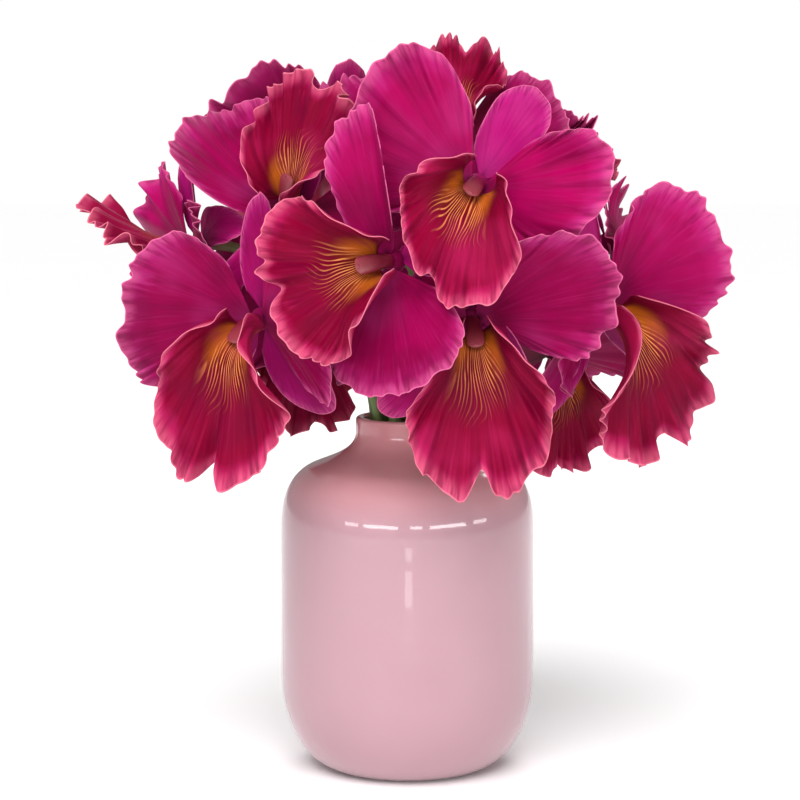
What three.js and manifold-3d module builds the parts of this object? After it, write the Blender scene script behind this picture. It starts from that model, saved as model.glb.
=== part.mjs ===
// Cattleya orchids in a pink bottle vase: fourteen blooms, each with three smooth sepals, two broad
// waved petals, a frilled lip rolled round the column, and a bare stem that stands in the vase's water.
// Millimetres, +Z up. The vase's axis is Z and its foot stands on Z = 0. The front faces -Y.
import * as THREE from 'three';
import { mergeVertices } from 'three/addons/utils/BufferGeometryUtils.js';
import Module from 'manifold-3d';

const wasm = await Module();
wasm.setup();

// Vase
const VASE_HEIGHT = 177;
const BODY_RADIUS = 63.8;
const FOOT_RADIUS = 36;
const NECK_RADIUS = 25.8;
const WALL = 4;
const FLOOR = 6;
const CORNER_TOP = 46;
const SHOULDER_START = 121;
const SHOULDER_MID = { radius: 46, height: 153.6 };
const NECK_START = 170;
const RIM_ROUND = 1.6;
const VASE_SIDES = 28;
const CURVE_STEPS = 3;

// Water and the clearance that pieces resting on each other keep
const WATER_LEVEL = 112;
const REST_GAP = 0.3;

// Stems
const STEM_RADIUS = 2.5;
const STEM_SIDES = 6;
const STEM_STEPS = 7;
const HOLE_GAP = 0.45;
const NECK_PASS_HEIGHT = 171;
const INNER_RING = { radius: 6, blooms: ['high', 'top_left', 'crown', 'back_top'] };
const OUTER_RING = { radius: 16.5 };
const FOOT_SPREAD = 2.2;
const FOOT_TURN = 0.35;
const STEM_FOOT = FLOOR + 2;

// Bloom, measured from the middle of its core: lengths at bloom size 1, angles in degrees. Where a blade
// draws its own value, a pair gives the least value and the width of the range.
const CORE = { radius: 5.6, back: -7, front: 3.6, chamfer: 1.4, backShare: 0.6, frontShare: 0.85, sides: 6 };
const COLUMN = [
  { z: 0, rise: 2, halfWidth: 3, halfHeight: 2.2 },
  { z: 7, rise: 1.6, halfWidth: 3.5, halfHeight: 1.9 },
  { z: 14, rise: -1, halfWidth: 4.1, halfHeight: 1.6 },
  { z: 20, rise: -5, halfWidth: 3.6, halfHeight: 1.3 },
];
const SEPAL = {
  length: 72, width: 30, foot: 3, lift: -3, angles: [0, 138, -138],
  shape: { widest: 0.8, point: 0.18, cup: [34, 34], wave: { height: 0.8, cycles: 5, power: 2 }, stiff: 1 },
  tipLean: [-26, 14], twist: [-7, 14],
};
const PETAL = {
  length: 74, width: 84, foot: 2.5, lift: 1.5, spread: 70,
  shape: { bend: [0, 0.8], wave: { height: 3, cycles: 5, power: 2.4 }, scallop: 0.013, stiff: 2 },
  rootLean: [4, 12], tipLean: [-4, 16], cup: [-10, 24], twist: [-11, 22],
};
const LIP = {
  drop: -4, lift: 4.5, tubeRadius: 8.5,
  shape: {
    length: 84, width: 78, widest: 0.88, lean: [0, -74], bend: [0, 0.4], cup: [140, 6], cupSpan: [0.12, 0.52],
    tube: true, wave: { height: 3, cycles: 7.5, power: 2.4 }, scallop: 0.022, notch: 0.14, stiff: 8,
  },
};
const BLADE_THICKNESS = 0.8;
const MARGIN_THICKNESS = 0.64;

// Which draw of a bloom or a blade each varying value takes
const DRAW = {
  sepalLean: 24, sepalTwist: 28, petalRootLean: 32, petalTipLean: 36, petalCup: 38, petalTwist: 40,
  wave: 3, stray: 7, teeth: 10,
};
const BLADES_IN_BLOOM = 7;
const FIRST_PETAL = 3;
const LIP_INDEX = 5;

// A blade is laid out as a fan from its root: r runs from the root to the margin, and the turn t
// runs round the margin from one side of the root, over the tip at 0, to the other side.
const FAN_TURN = 0.8 * Math.PI;
const MIDRIB_STATIONS = 160;

// The margin: where it stops being free towards the root, in half turns, and how its waves and teeth go
const FREE_MARGIN = { from: 0.55, fade: 0.25 };
const ROOT_WAVE_SHARE = 0.3;
const WAVE_STRAY = { turn: 0.9, cycles: 2 };
const TEETH = 9;
const NOTCH_TURN = 0.16;
const ROLL_LIMIT = 1.12;

// Rings of facets from the root outward, as segments in each ring, which lie closer towards the margin
const SEPAL_RINGS = [2, 4, 6];
const PETAL_RINGS = [4, 7, 11, 18];
const LIP_RINGS = [5, 10, 17, 26];
const RING_SPACING = 0.8;

// Parting blades of different blooms: the least space between their middle surfaces and beside a stem,
// how near they come before they count as crossing, and how a parting plane and a fold are found
const BLADE_GAP = 2.6;
const STEM_GAP = 3.38;
const NEAR_BLADE = 5;
const NEAR_STEM = 6;
const NEAR_BOX = 4;
const CLEARING_ROUNDS = 4;
const SAMPLE_RINGS = 7;
const SAMPLE_TURNS = 32;
const STEM_SAMPLES = 12;
const LEAST_SPREAD = 6;
const ROOT_PULL = 0.4;
const ROOTS_APART = 12;
const PLANE_TURN = 0.25;
const PLANE_TURNS = 12;
const ROOT_ROOM = 5;
const KNEE_SHARE = 0.2;
const KNEE_ROOM = 1;

const COLOURS = {
  vase: { color: 0xd9a3ad, roughness: 0.08 },
  water: { color: 0xdfe8ea, roughness: 0.05 },
  tepals: { color: 0x9c1464, roughness: 0.5 },
  lip: { color: 0xa50c41, roughness: 0.5 },
  column: { color: 0xc98f86, roughness: 0.45 },
  stem: { color: 0x6f8a45, roughness: 0.5 },
};

// Each bloom's middle, the way it faces, its clockwise roll as seen from its front, its size, and
// where its own blades differ from the usual ones. Petal and sepal lists follow SEPAL.angles and
// the right and then the left petal.
const BLOOMS = [
  {
    name: 'left', at: [-71, -52, 230], face: [-0.46, -0.83, -0.16], roll: 8, size: 1.04,
    lip: { length: 86, width: 70 },
    petals: [{ length: 62 }, { length: 72, width: 88, turn: -18 }],
    sepals: [{}, { length: 54 }, { length: 66 }],
  },
  {
    name: 'front', at: [-8, -82, 260], face: [-0.5, -0.86, 0.02], roll: 72, size: 0.97,
    lip: { length: 64, width: 80 },
    petals: [{ length: 62, turn: 30 }, { turn: -12 }],
    sepals: [{ length: 46, lean: [0, -34] }, {}, {}],
  },
  {
    name: 'high', at: [32, -72, 295], face: [-0.06, -0.96, 0.06], roll: 32, size: 1.06,
    lip: { length: 70, width: 76 },
    petals: [{ length: 64, width: 86, turn: 10 }, { length: 74, width: 88, turn: -22 }],
    sepals: [{ length: 56, lean: [-6, -38] }, { length: 50 }, { length: 50 }],
  },
  {
    name: 'low', at: [30, -70, 231], face: [0.05, -0.95, -0.2], roll: -2, size: 1,
    lip: { length: 88, width: 70 },
    petals: [{ length: 82, width: 86, turn: -10 }, { length: 70 }],
    sepals: [{}, { lean: [10, 0], turn: -20 }, { length: 62 }],
  },
  {
    name: 'right', at: [93, -36, 236], face: [0.7, -0.64, -0.3], roll: -24, size: 1,
    lip: { length: 84, width: 80 },
  },
  {
    name: 'top_left', at: [-54, -42, 279], face: [-0.25, -0.62, 0.7], roll: 205, size: 1, spread: 102,
    lip: { length: 68, width: 66, lean: [0, -52] },
    petals: [{ length: 82 }, {}],
  },
  {
    name: 'crown', at: [22, 0, 309], face: [0.1, -0.25, 0.95], roll: 205, size: 0.96, spread: 105,
    lip: { length: 66, width: 44, lean: [0, -60] },
    petals: [{ length: 80 }, {}],
  },
  {
    name: 'top_right', at: [64, 28, 296], face: [0.42, 0.45, 0.72], roll: 10, size: 0.86,
    lip: { length: 56, width: 50 },
  },
  {
    name: 'far_right', at: [103, 10, 264], face: [0.86, -0.1, 0.42], roll: 20, size: 0.88,
    lip: { length: 54, width: 64 },
  },
  {
    name: 'far_left', at: [-106, -2, 262], face: [-0.86, -0.38, -0.04], roll: 200, size: 0.88, spread: 100,
    lip: { length: 58, width: 54, lean: [0, -26] },
    petals: [{ length: 56, turn: -24 }, {}],
  },
  {
    name: 'underside', at: [-42, 32, 226], face: [-0.6, 0.6, -0.42], roll: 0, size: 0.95,
    lip: { length: 64, width: 66 },
  },
  {
    name: 'back', at: [23, 82, 269], face: [0.25, 0.93, 0.05], roll: 0, size: 1,
    lip: { length: 84, width: 76 },
  },
  {
    name: 'back_top', at: [-40, 62, 303], face: [-0.42, 0.72, 0.5], roll: 0, size: 0.95,
    lip: { length: 80, width: 74 },
  },
  {
    name: 'tucked', at: [73, 2, 209], face: [0.38, -0.6, -0.7], roll: 0, size: 0.9,
    lip: { length: 60, width: 58, lean: [0, -54] },
    sepals: [{}, {}, { length: 44 }],
  },
];

const radians = THREE.MathUtils.degToRad;
const clamp = THREE.MathUtils.clamp;
const vector = (list) => new THREE.Vector3(...list);

// A repeatable draw between 0 and 1 for one bloom or blade
function draw(seed, index) {
  const value = Math.sin(seed * 12.9898 + index * 78.233) * 43758.5453;
  return value - Math.floor(value);
}

const drawFrom = ([least, range], seed, index) => least + range * draw(seed, index);

function ease(x) {
  const c = clamp(x, 0, 1);
  return c * c * (3 - 2 * c);
}

const mix = (pair, amount) => pair[0] + (pair[1] - pair[0]) * amount;

// One sepal, petal or lip as a curved middle surface, with the folds that keep it off its neighbours
class Blade {
  constructor(bloom, spec, origin, across, along, rise) {
    Object.assign(this, {
      widest: 0.7, point: 0, bend: [0, 1], cupSpan: [0, 1], tube: false, twist: 0, scallop: 0, notch: 0, ...spec,
    });
    this.bloom = bloom;
    this.basis = new THREE.Matrix4().makeBasis(across, along, rise).setPosition(origin);
    this.folds = [];
    this.step = this.length / MIDRIB_STATIONS;
    this.wavePhase = 2 * Math.PI * draw(this.seed, DRAW.wave);
    this.strayPhase = 2 * Math.PI * draw(this.seed, DRAW.stray);
    this.teethPhase = 2 * Math.PI * draw(this.seed, DRAW.teeth);
    this.midrib = [[0, 0]];
    for (let i = 0; i < MIDRIB_STATIONS; i++) {
      const pitch = this.pitch((i + 0.5) / MIDRIB_STATIONS);
      const [y, z] = this.midrib[i];
      this.midrib.push([y + Math.cos(pitch) * this.step, z + Math.sin(pitch) * this.step]);
    }
  }

  // The midrib's slope at a share u of its length
  pitch(u) {
    return radians(mix(this.lean, ease((u - this.bend[0]) / (this.bend[1] - this.bend[0]))));
  }

  halfWidth(y) {
    const share = clamp(y / this.length, 0, 1);
    const turn = Math.acos(clamp(2 * share ** (1 / this.widest) - 1, -1, 1));
    return (this.width / 2) * Math.sin(turn) * Math.sin(turn / 2) ** this.point;
  }

  // How far the sheet is rolled at x across and y along: a tube's roll never gets tighter than its radius
  roll(x, y) {
    const start = this.cupSpan[0];
    const big = radians(mix(this.cup, ease((y / this.length - start) / (this.cupSpan[1] - start))));
    const span = this.tube ? Math.max(this.halfWidth(y), LIP.tubeRadius * big) : this.width / 2;
    return big * clamp(x / span, -ROLL_LIMIT, ROLL_LIMIT);
  }

  // The flat outline, its teeth and its notch, before it is rolled and bent
  outline(r, t) {
    const free = 1 - ease((Math.abs(t) / Math.PI - FREE_MARGIN.from) / FREE_MARGIN.fade);
    const teeth = 1 + this.scallop * free * r ** 4 * Math.sin(TEETH * t + this.teethPhase);
    const tip = 1 - this.notch * Math.exp(-((t / NOTCH_TURN) ** 2)) * r ** 3;
    const side = (this.width / 2) * Math.sin(t) * Math.abs(Math.sin(t / 2)) ** this.point;
    const reach = this.length * ((1 + Math.cos(t)) / 2) ** this.widest;
    return { x: r * side * teeth, y: r * reach * teeth * tip, free };
  }

  local(r, t) {
    const { x, y, free } = this.outline(r, t);
    const roll = this.roll(x, y);
    const safe = Math.abs(roll) < 1e-6 ? 1e-6 : roll;
    const { height, cycles, power } = this.wave;
    const stray = WAVE_STRAY.turn * Math.sin(WAVE_STRAY.cycles * t + this.strayPhase);
    const swing = Math.sin(cycles * t + this.wavePhase + stray);
    const wave = height * r ** power * swing * (ROOT_WAVE_SHARE + (1 - ROOT_WAVE_SHARE) * free);
    const flatAcross = (x * Math.sin(safe)) / safe - Math.sin(roll) * wave;
    const flatRise = (x * (1 - Math.cos(safe))) / safe + Math.cos(roll) * wave;
    const twist = radians(this.twist) * (y / this.length);
    const across = flatAcross * Math.cos(twist) - flatRise * Math.sin(twist);
    const rise = flatAcross * Math.sin(twist) + flatRise * Math.cos(twist);
    const place = clamp(y / this.step, 0, MIDRIB_STATIONS - 1e-9);
    const station = Math.floor(place);
    const part = place - station;
    const [y0, z0] = this.midrib[station];
    const [y1, z1] = this.midrib[station + 1];
    const pitch = this.pitch(y / this.length);
    return new THREE.Vector3(
      across,
      y0 + (y1 - y0) * part - rise * Math.sin(pitch),
      z0 + (z1 - z0) * part + rise * Math.cos(pitch),
    );
  }

  at(r, t) {
    const p = this.local(r, t).applyMatrix4(this.basis);
    for (const fold of this.folds) applyFold(p, fold);
    return p;
  }

  get root() {
    return this.at(1e-4, 0);
  }

  // The unit normal on the side that the bloom's front sees
  normal(r, t) {
    const e = 1e-3;
    const outward = this.at(r + e, t).sub(this.at(r - e, t));
    const round = this.at(r, t + e).sub(this.at(r, t - e));
    return round.cross(outward).normalize();
  }

  samples() {
    const points = [];
    for (let i = 1; i <= SAMPLE_RINGS; i++) {
      for (let j = 0; j <= SAMPLE_TURNS; j++) {
        points.push(this.at(i / SAMPLE_RINGS, FAN_TURN * ((2 * j) / SAMPLE_TURNS - 1)));
      }
    }
    return points;
  }
}

// Beyond its knee a fold squeezes points along its normal, ever harder, so that none passes its limit
function applyFold(p, { normal, knee, bend }) {
  const past = p.dot(normal) - knee;
  if (past > 0) p.addScaledVector(normal, past / (1 + bend * past) - past);
}

function foldBehind(item, normal, limit) {
  const top = Math.max(...item.points.map((p) => p.dot(normal)));
  if (top <= limit) return;
  const rootSide = item.root.dot(normal);
  const knee = Math.min(rootSide + KNEE_SHARE * (limit - rootSide), limit - KNEE_ROOM);
  const fold = { normal, knee, bend: 1 / (limit - knee) - 1 / (top - knee) };
  item.blade.folds.push(fold);
  for (const p of item.points) applyFold(p, fold);
  applyFold(item.root, fold);
}

function meanOf(points) {
  const sum = new THREE.Vector3();
  for (const p of points) sum.add(p);
  return sum.divideScalar(points.length);
}

// Adds the points' covariance to a symmetric 3 x 3 sum
function addSpread(sum, points) {
  const mean = meanOf(points);
  for (const p of points) {
    const d = p.clone().sub(mean).toArray();
    for (let row = 0; row < 3; row++) {
      for (let column = 0; column < 3; column++) {
        sum[row * 3 + column] += (d[row] * d[column]) / (points.length - 1);
      }
    }
  }
}

// The direction in which two crossing blades come apart most easily, with both roots on their own side
function partingNormal(a, b) {
  const spread = new THREE.Matrix3().elements.map((unit) => unit * LEAST_SPREAD);
  addSpread(spread, a.points);
  addSpread(spread, b.points);
  const from = meanOf(a.points).lerp(a.root, ROOT_PULL);
  const to = meanOf(b.points).lerp(b.root, ROOT_PULL);
  const normal = to.sub(from).applyMatrix3(new THREE.Matrix3().set(...spread).invert()).normalize();
  const away = b.root.clone().sub(a.root);
  const direction = away.clone().normalize();
  for (let i = 0; i < PLANE_TURNS && away.dot(normal) <= ROOTS_APART; i++) {
    normal.addScaledVector(direction, PLANE_TURN).normalize();
  }
  return normal;
}

function near(a, b) {
  const reach = b.blade ? NEAR_BLADE : NEAR_STEM;
  const boxA = new THREE.Box3().setFromPoints(a.points).expandByScalar(NEAR_BOX);
  if (!boxA.intersectsBox(new THREE.Box3().setFromPoints(b.points))) return false;
  return a.points.some((p) => b.points.some((q) => p.distanceToSquared(q) <= reach * reach));
}

// Bends two blades, or a blade beside a stem, to either side of one plane
function part(a, b) {
  const normal = partingNormal(a, b);
  const reachA = Math.max(...a.points.map((p) => p.dot(normal)));
  const reachB = Math.min(...b.points.map((p) => p.dot(normal)));
  if (reachA + BLADE_GAP <= reachB) return;
  if (!b.blade) {
    foldBehind(a, normal, reachB - STEM_GAP);
    return;
  }
  const low = a.root.dot(normal) + ROOT_ROOM;
  const high = b.root.dot(normal) - ROOT_ROOM;
  const wish = (a.blade.stiff * reachA + b.blade.stiff * reachB) / (a.blade.stiff + b.blade.stiff);
  const plane = high > low ? clamp(wish, low, high) : (low + high) / 2;
  foldBehind(a, normal, plane - BLADE_GAP / 2);
  foldBehind(b, normal.clone().negate(), -plane - BLADE_GAP / 2);
}

function bendClear(blades, stems) {
  const items = [
    ...blades.map((blade) => ({ blade, bloom: blade.bloom, points: blade.samples(), root: blade.root })),
    ...stems.map(({ bloom, points }) => ({ bloom, points, root: meanOf(points) })),
  ];
  for (let round = 0; round < CLEARING_ROUNDS; round++) {
    for (let i = 0; i < blades.length; i++) {
      for (let j = i + 1; j < items.length; j++) {
        if (items[i].bloom !== items[j].bloom && near(items[i], items[j])) part(items[i], items[j]);
      }
    }
  }
}

// A bloom's own directions: right and up as seen from its front, and front
function bloomAxes({ face, roll }) {
  const front = vector(face).normalize();
  const level = new THREE.Vector3(0, 0, 1).cross(front).normalize();
  const steep = front.clone().cross(level);
  const turn = radians(roll);
  const right = level.clone().multiplyScalar(Math.cos(turn)).addScaledVector(steep, -Math.sin(turn));
  const up = level.multiplyScalar(Math.sin(turn)).addScaledVector(steep, Math.cos(turn));
  return { right, up, front };
}

function tepalBlade(bloom, spec, angle, shape) {
  const { middle, right, up, front } = bloom;
  const turn = radians(angle);
  const along = up.clone().multiplyScalar(Math.cos(turn)).addScaledVector(right, Math.sin(turn));
  const origin = middle.clone().addScaledVector(along, spec.foot).addScaledVector(front, spec.lift);
  return new Blade(bloom, shape, origin, along.clone().cross(front), along, front);
}

function sepalBlades(bloom) {
  const { size, seed, sepals = [{}, {}, {}] } = bloom;
  return SEPAL.angles.map((angle, i) => {
    const { turn = 0, ...own } = sepals[i];
    return tepalBlade(bloom, SEPAL, angle + turn, {
      ...SEPAL.shape,
      length: SEPAL.length * size,
      width: SEPAL.width * size,
      lean: [0, drawFrom(SEPAL.tipLean, seed, DRAW.sepalLean + i)],
      twist: drawFrom(SEPAL.twist, seed, DRAW.sepalTwist + i),
      seed: seed * BLADES_IN_BLOOM + i,
      ...own,
    });
  });
}

function petalBlades(bloom) {
  const { size, seed, spread = PETAL.spread, petals = [{}, {}] } = bloom;
  return [spread, -spread].map((angle, i) => {
    const { turn = 0, ...own } = petals[i];
    const cup = drawFrom(PETAL.cup, seed, DRAW.petalCup + i);
    return tepalBlade(bloom, PETAL, angle + turn, {
      ...PETAL.shape,
      length: PETAL.length * size,
      width: PETAL.width * size,
      lean: [
        drawFrom(PETAL.rootLean, seed, DRAW.petalRootLean + i),
        drawFrom(PETAL.tipLean, seed, DRAW.petalTipLean + i),
      ],
      cup: [cup, cup],
      twist: drawFrom(PETAL.twist, seed, DRAW.petalTwist + i),
      seed: seed * BLADES_IN_BLOOM + FIRST_PETAL + i,
      ...own,
    });
  });
}

function lipBlade(bloom) {
  const { middle, right, up, front, seed, lip } = bloom;
  const origin = middle.clone().addScaledVector(up, LIP.drop).addScaledVector(front, LIP.lift);
  const shape = { ...LIP.shape, seed: seed * BLADES_IN_BLOOM + LIP_INDEX, ...lip };
  return new Blade(bloom, shape, origin, right.clone().negate(), front, up);
}

function bareGeometry(positions, index) {
  const geometry = new THREE.BufferGeometry();
  geometry.setAttribute('position', new THREE.Float32BufferAttribute(positions, 3));
  geometry.setIndex(index);
  return geometry;
}

// Triangles between two rings of a fan that have different numbers of segments
function stitchRings(inner, innerCount, outer, outerCount) {
  const triangles = [];
  let i = 0;
  let j = 0;
  while (i < innerCount || j < outerCount) {
    if (j < outerCount && (j + 0.5) * innerCount <= (i + 0.5) * outerCount) {
      triangles.push([inner + i, outer + j + 1, outer + j]);
      j++;
    } else {
      triangles.push([inner + i, inner + i + 1, outer + j]);
      i++;
    }
  }
  return triangles;
}

// A blade's closed solid: both faces are split alike, half a thickness off the middle surface
function bladeGeometry(blade, rings) {
  const stations = [{ r: 1e-3, t: 0 }];
  const starts = [];
  rings.forEach((count, ring) => {
    starts.push(stations.length);
    const r = ((ring + 1) / rings.length) ** RING_SPACING;
    for (let j = 0; j <= count; j++) stations.push({ r, t: FAN_TURN * ((2 * j) / count - 1) });
  });
  const faces = [];
  for (const { r, t } of stations) {
    const half = (BLADE_THICKNESS + (MARGIN_THICKNESS - BLADE_THICKNESS) * r ** 4) / 2;
    faces.push({ middle: blade.at(r, t), offset: blade.normal(Math.max(r, 0.02), t).multiplyScalar(half) });
  }
  const positions = [
    ...faces.flatMap(({ middle, offset }) => middle.clone().add(offset).toArray()),
    ...faces.flatMap(({ middle, offset }) => middle.clone().sub(offset).toArray()),
  ];
  const far = stations.length;
  const front = [];
  for (let j = 0; j < rings[0]; j++) front.push([0, starts[0] + j + 1, starts[0] + j]);
  for (let ring = 0; ring + 1 < rings.length; ring++) {
    front.push(...stitchRings(starts[ring], rings[ring], starts[ring + 1], rings[ring + 1]));
  }
  const last = starts.at(-1);
  const rim = Array.from({ length: rings.at(-1) + 1 }, (_, j) => last + j);
  const leftSide = [0, ...starts];
  const rightSide = [0, ...starts.map((start, ring) => start + rings[ring])];
  const index = front.flatMap(([a, b, c]) => [a, b, c, a + far, c + far, b + far]);
  for (const border of [rim, leftSide, rightSide.reverse()]) {
    for (let k = 0; k + 1 < border.length; k++) {
      const [a, b] = [border[k], border[k + 1]];
      index.push(a, b, b + far, a, b + far, a + far);
    }
  }
  return bareGeometry(positions, index);
}

// A closed body from rings of points, each ring going round the way in which the rings advance
function loftGeometry(rings) {
  const sides = rings[0].length;
  const positions = rings.flat().flatMap((p) => p.toArray());
  const index = [];
  for (let ring = 0; ring + 1 < rings.length; ring++) {
    for (let k = 0; k < sides; k++) {
      const a = ring * sides + k;
      const b = ring * sides + ((k + 1) % sides);
      index.push(a, b, b + sides, a, b + sides, a + sides);
    }
  }
  const top = (rings.length - 1) * sides;
  for (let k = 1; k + 1 < sides; k++) index.push(0, k + 1, k, top, top + k, top + k + 1);
  return bareGeometry(positions, index);
}

function ovalRing({ middle, right, up, front }, station, sides) {
  return Array.from({ length: sides }, (_, k) => {
    const turn = (2 * Math.PI * (k + 0.5)) / sides;
    return middle.clone()
      .addScaledVector(front, station.z)
      .addScaledVector(right, station.halfWidth * Math.cos(turn))
      .addScaledVector(up, station.rise + station.halfHeight * Math.sin(turn));
  });
}

// The knob in which sepals and petals are rooted, and on which the lip and the column sit
function coreGeometry(bloom) {
  const { radius, back, front, chamfer, backShare, frontShare, sides } = CORE;
  const stations = [
    { z: back, share: backShare },
    { z: back / 2, share: 1 },
    { z: front - chamfer, share: 1 },
    { z: front, share: frontShare },
  ];
  return loftGeometry(stations.map(({ z, share }) => ovalRing(
    bloom, { z, rise: 0, halfWidth: radius * share, halfHeight: radius * share }, sides,
  )));
}

// The column bends down over the lip's root
function columnGeometry(bloom) {
  const root = CORE.front + REST_GAP;
  return loftGeometry(COLUMN.map((station) => ovalRing(bloom, { ...station, z: root + station.z }, CORE.sides)));
}

function solidOf(geometry) {
  const merged = mergeVertices(geometry, 1e-4);
  return new wasm.Manifold(new wasm.Mesh({
    numProp: 3,
    vertProperties: new Float32Array(merged.attributes.position.array),
    triVerts: new Uint32Array(merged.index.array),
  }));
}

function geometryOf(solid) {
  const { vertProperties, triVerts } = solid.getMesh();
  return bareGeometry([...vertProperties], [...triVerts]);
}

function tepalsGeometry(bloom) {
  const leaves = [
    ...bloom.sepalBlades.map((blade) => bladeGeometry(blade, SEPAL_RINGS)),
    ...bloom.petalBlades.map((blade) => bladeGeometry(blade, PETAL_RINGS)),
  ];
  return geometryOf(leaves.reduce((body, leaf) => body.add(solidOf(leaf)), solidOf(coreGeometry(bloom))));
}

// The stems pass the neck in two rings, each bloom's at the turn that lies nearest to its own
function placeStems(blooms) {
  const inner = blooms.filter(({ name }) => INNER_RING.blooms.includes(name));
  const outer = blooms.filter(({ name }) => !INNER_RING.blooms.includes(name));
  for (const [group, radius] of [[inner, INNER_RING.radius], [outer, OUTER_RING.radius]]) {
    const azimuth = ({ middle }) => Math.atan2(middle.y, middle.x);
    group.sort((a, b) => azimuth(a) - azimuth(b));
    const pitch = (2 * Math.PI) / group.length;
    const sum = new THREE.Vector2();
    group.forEach((bloom, i) => {
      const lag = azimuth(bloom) - i * pitch;
      sum.add(new THREE.Vector2(Math.cos(lag), Math.sin(lag)));
    });
    const first = Math.atan2(sum.y, sum.x);
    group.forEach((bloom, i) => {
      bloom.stemPath = stemPath(bloom, radius, first + i * pitch);
    });
  }
}

function stemPath({ middle, front }, radius, turn) {
  const ringPoint = (share, angle, height) => new THREE.Vector3(
    radius * share * Math.cos(angle), radius * share * Math.sin(angle), height,
  );
  const head = middle.clone().addScaledVector(front, CORE.back - REST_GAP);
  const neck = ringPoint(1, turn, NECK_PASS_HEIGHT);
  const foot = ringPoint(FOOT_SPREAD, turn + FOOT_TURN, STEM_FOOT);
  const reach = head.distanceTo(neck);
  const path = new THREE.CurvePath();
  path.add(new THREE.CubicBezierCurve3(
    head,
    head.clone().addScaledVector(front, -Math.min(34, 0.4 * reach)),
    neck.clone().add(new THREE.Vector3(0, 0, 0.45 * reach)),
    neck,
  ));
  path.add(new THREE.CubicBezierCurve3(
    neck,
    neck.clone().add(new THREE.Vector3(0, 0, -40)),
    foot.clone().add(new THREE.Vector3(0, 0, 60)),
    foot,
  ));
  return path;
}

function stemGeometry(path, radius) {
  const section = new THREE.Shape(Array.from({ length: STEM_SIDES }, (_, k) => {
    const turn = (2 * Math.PI * k) / STEM_SIDES;
    return new THREE.Vector2(radius * Math.cos(turn), radius * Math.sin(turn));
  }));
  return new THREE.ExtrudeGeometry(section, { steps: STEM_STEPS, extrudePath: path, bevelEnabled: false });
}

// One side of the vase's wall, from the foot to the rim, drawn in by inset from the outside
function wallPath(inset, floor, rimHeight) {
  const body = BODY_RADIUS - inset;
  const neck = NECK_RADIUS - inset;
  const path = new THREE.Path();
  path.moveTo(FOOT_RADIUS, floor);
  path.bezierCurveTo(FOOT_RADIUS + 16, floor, body, floor + 22, body, CORNER_TOP);
  path.lineTo(body, SHOULDER_START);
  const middle = { x: SHOULDER_MID.radius - inset / 2, y: SHOULDER_MID.height - inset };
  path.bezierCurveTo(body, SHOULDER_START + 18 - inset, body - 6, middle.y - 4, middle.x, middle.y);
  path.bezierCurveTo(middle.x - 10, middle.y + 4, neck, middle.y + 7, neck, NECK_START);
  path.lineTo(neck, rimHeight);
  return path;
}

function latheGeometry(profile) {
  const geometry = new THREE.LatheGeometry(profile, VASE_SIDES);
  geometry.deleteAttribute('normal');
  geometry.deleteAttribute('uv');
  return mergeVertices(geometry, 1e-4).rotateX(Math.PI / 2);
}

function vaseGeometry() {
  const outside = wallPath(0, 0, VASE_HEIGHT - RIM_ROUND).getPoints(CURVE_STEPS);
  const inside = wallPath(WALL, FLOOR, VASE_HEIGHT - RIM_ROUND).getPoints(CURVE_STEPS);
  const rim = [
    new THREE.Vector2(NECK_RADIUS - RIM_ROUND, VASE_HEIGHT),
    new THREE.Vector2(NECK_RADIUS - WALL + RIM_ROUND, VASE_HEIGHT),
  ];
  const axis = (height) => new THREE.Vector2(0, height);
  return latheGeometry([axis(0), ...outside, ...rim, ...inside.reverse(), axis(FLOOR)]);
}

function waterGeometry(stemPaths) {
  const radius = BODY_RADIUS - WALL - REST_GAP;
  const floor = FLOOR + REST_GAP;
  const side = new THREE.Path();
  side.moveTo(FOOT_RADIUS, floor);
  side.bezierCurveTo(FOOT_RADIUS + 16 - REST_GAP, floor, radius, floor + 22, radius, CORNER_TOP);
  side.lineTo(radius, WATER_LEVEL);
  const body = solidOf(latheGeometry([
    new THREE.Vector2(0, floor), ...side.getPoints(CURVE_STEPS), new THREE.Vector2(0, WATER_LEVEL),
  ]));
  const holes = stemPaths.map((path) => solidOf(barePosition(stemGeometry(path, STEM_RADIUS + HOLE_GAP))));
  return geometryOf(holes.reduce((left, hole) => left.subtract(hole), body));
}

function barePosition(geometry) {
  geometry.deleteAttribute('normal');
  geometry.deleteAttribute('uv');
  return geometry;
}

function addMesh(group, name, geometry, look) {
  const mesh = new THREE.Mesh(geometry, new THREE.MeshStandardMaterial({ metalness: 0, ...look }));
  mesh.name = name;
  group.add(mesh);
}

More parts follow.
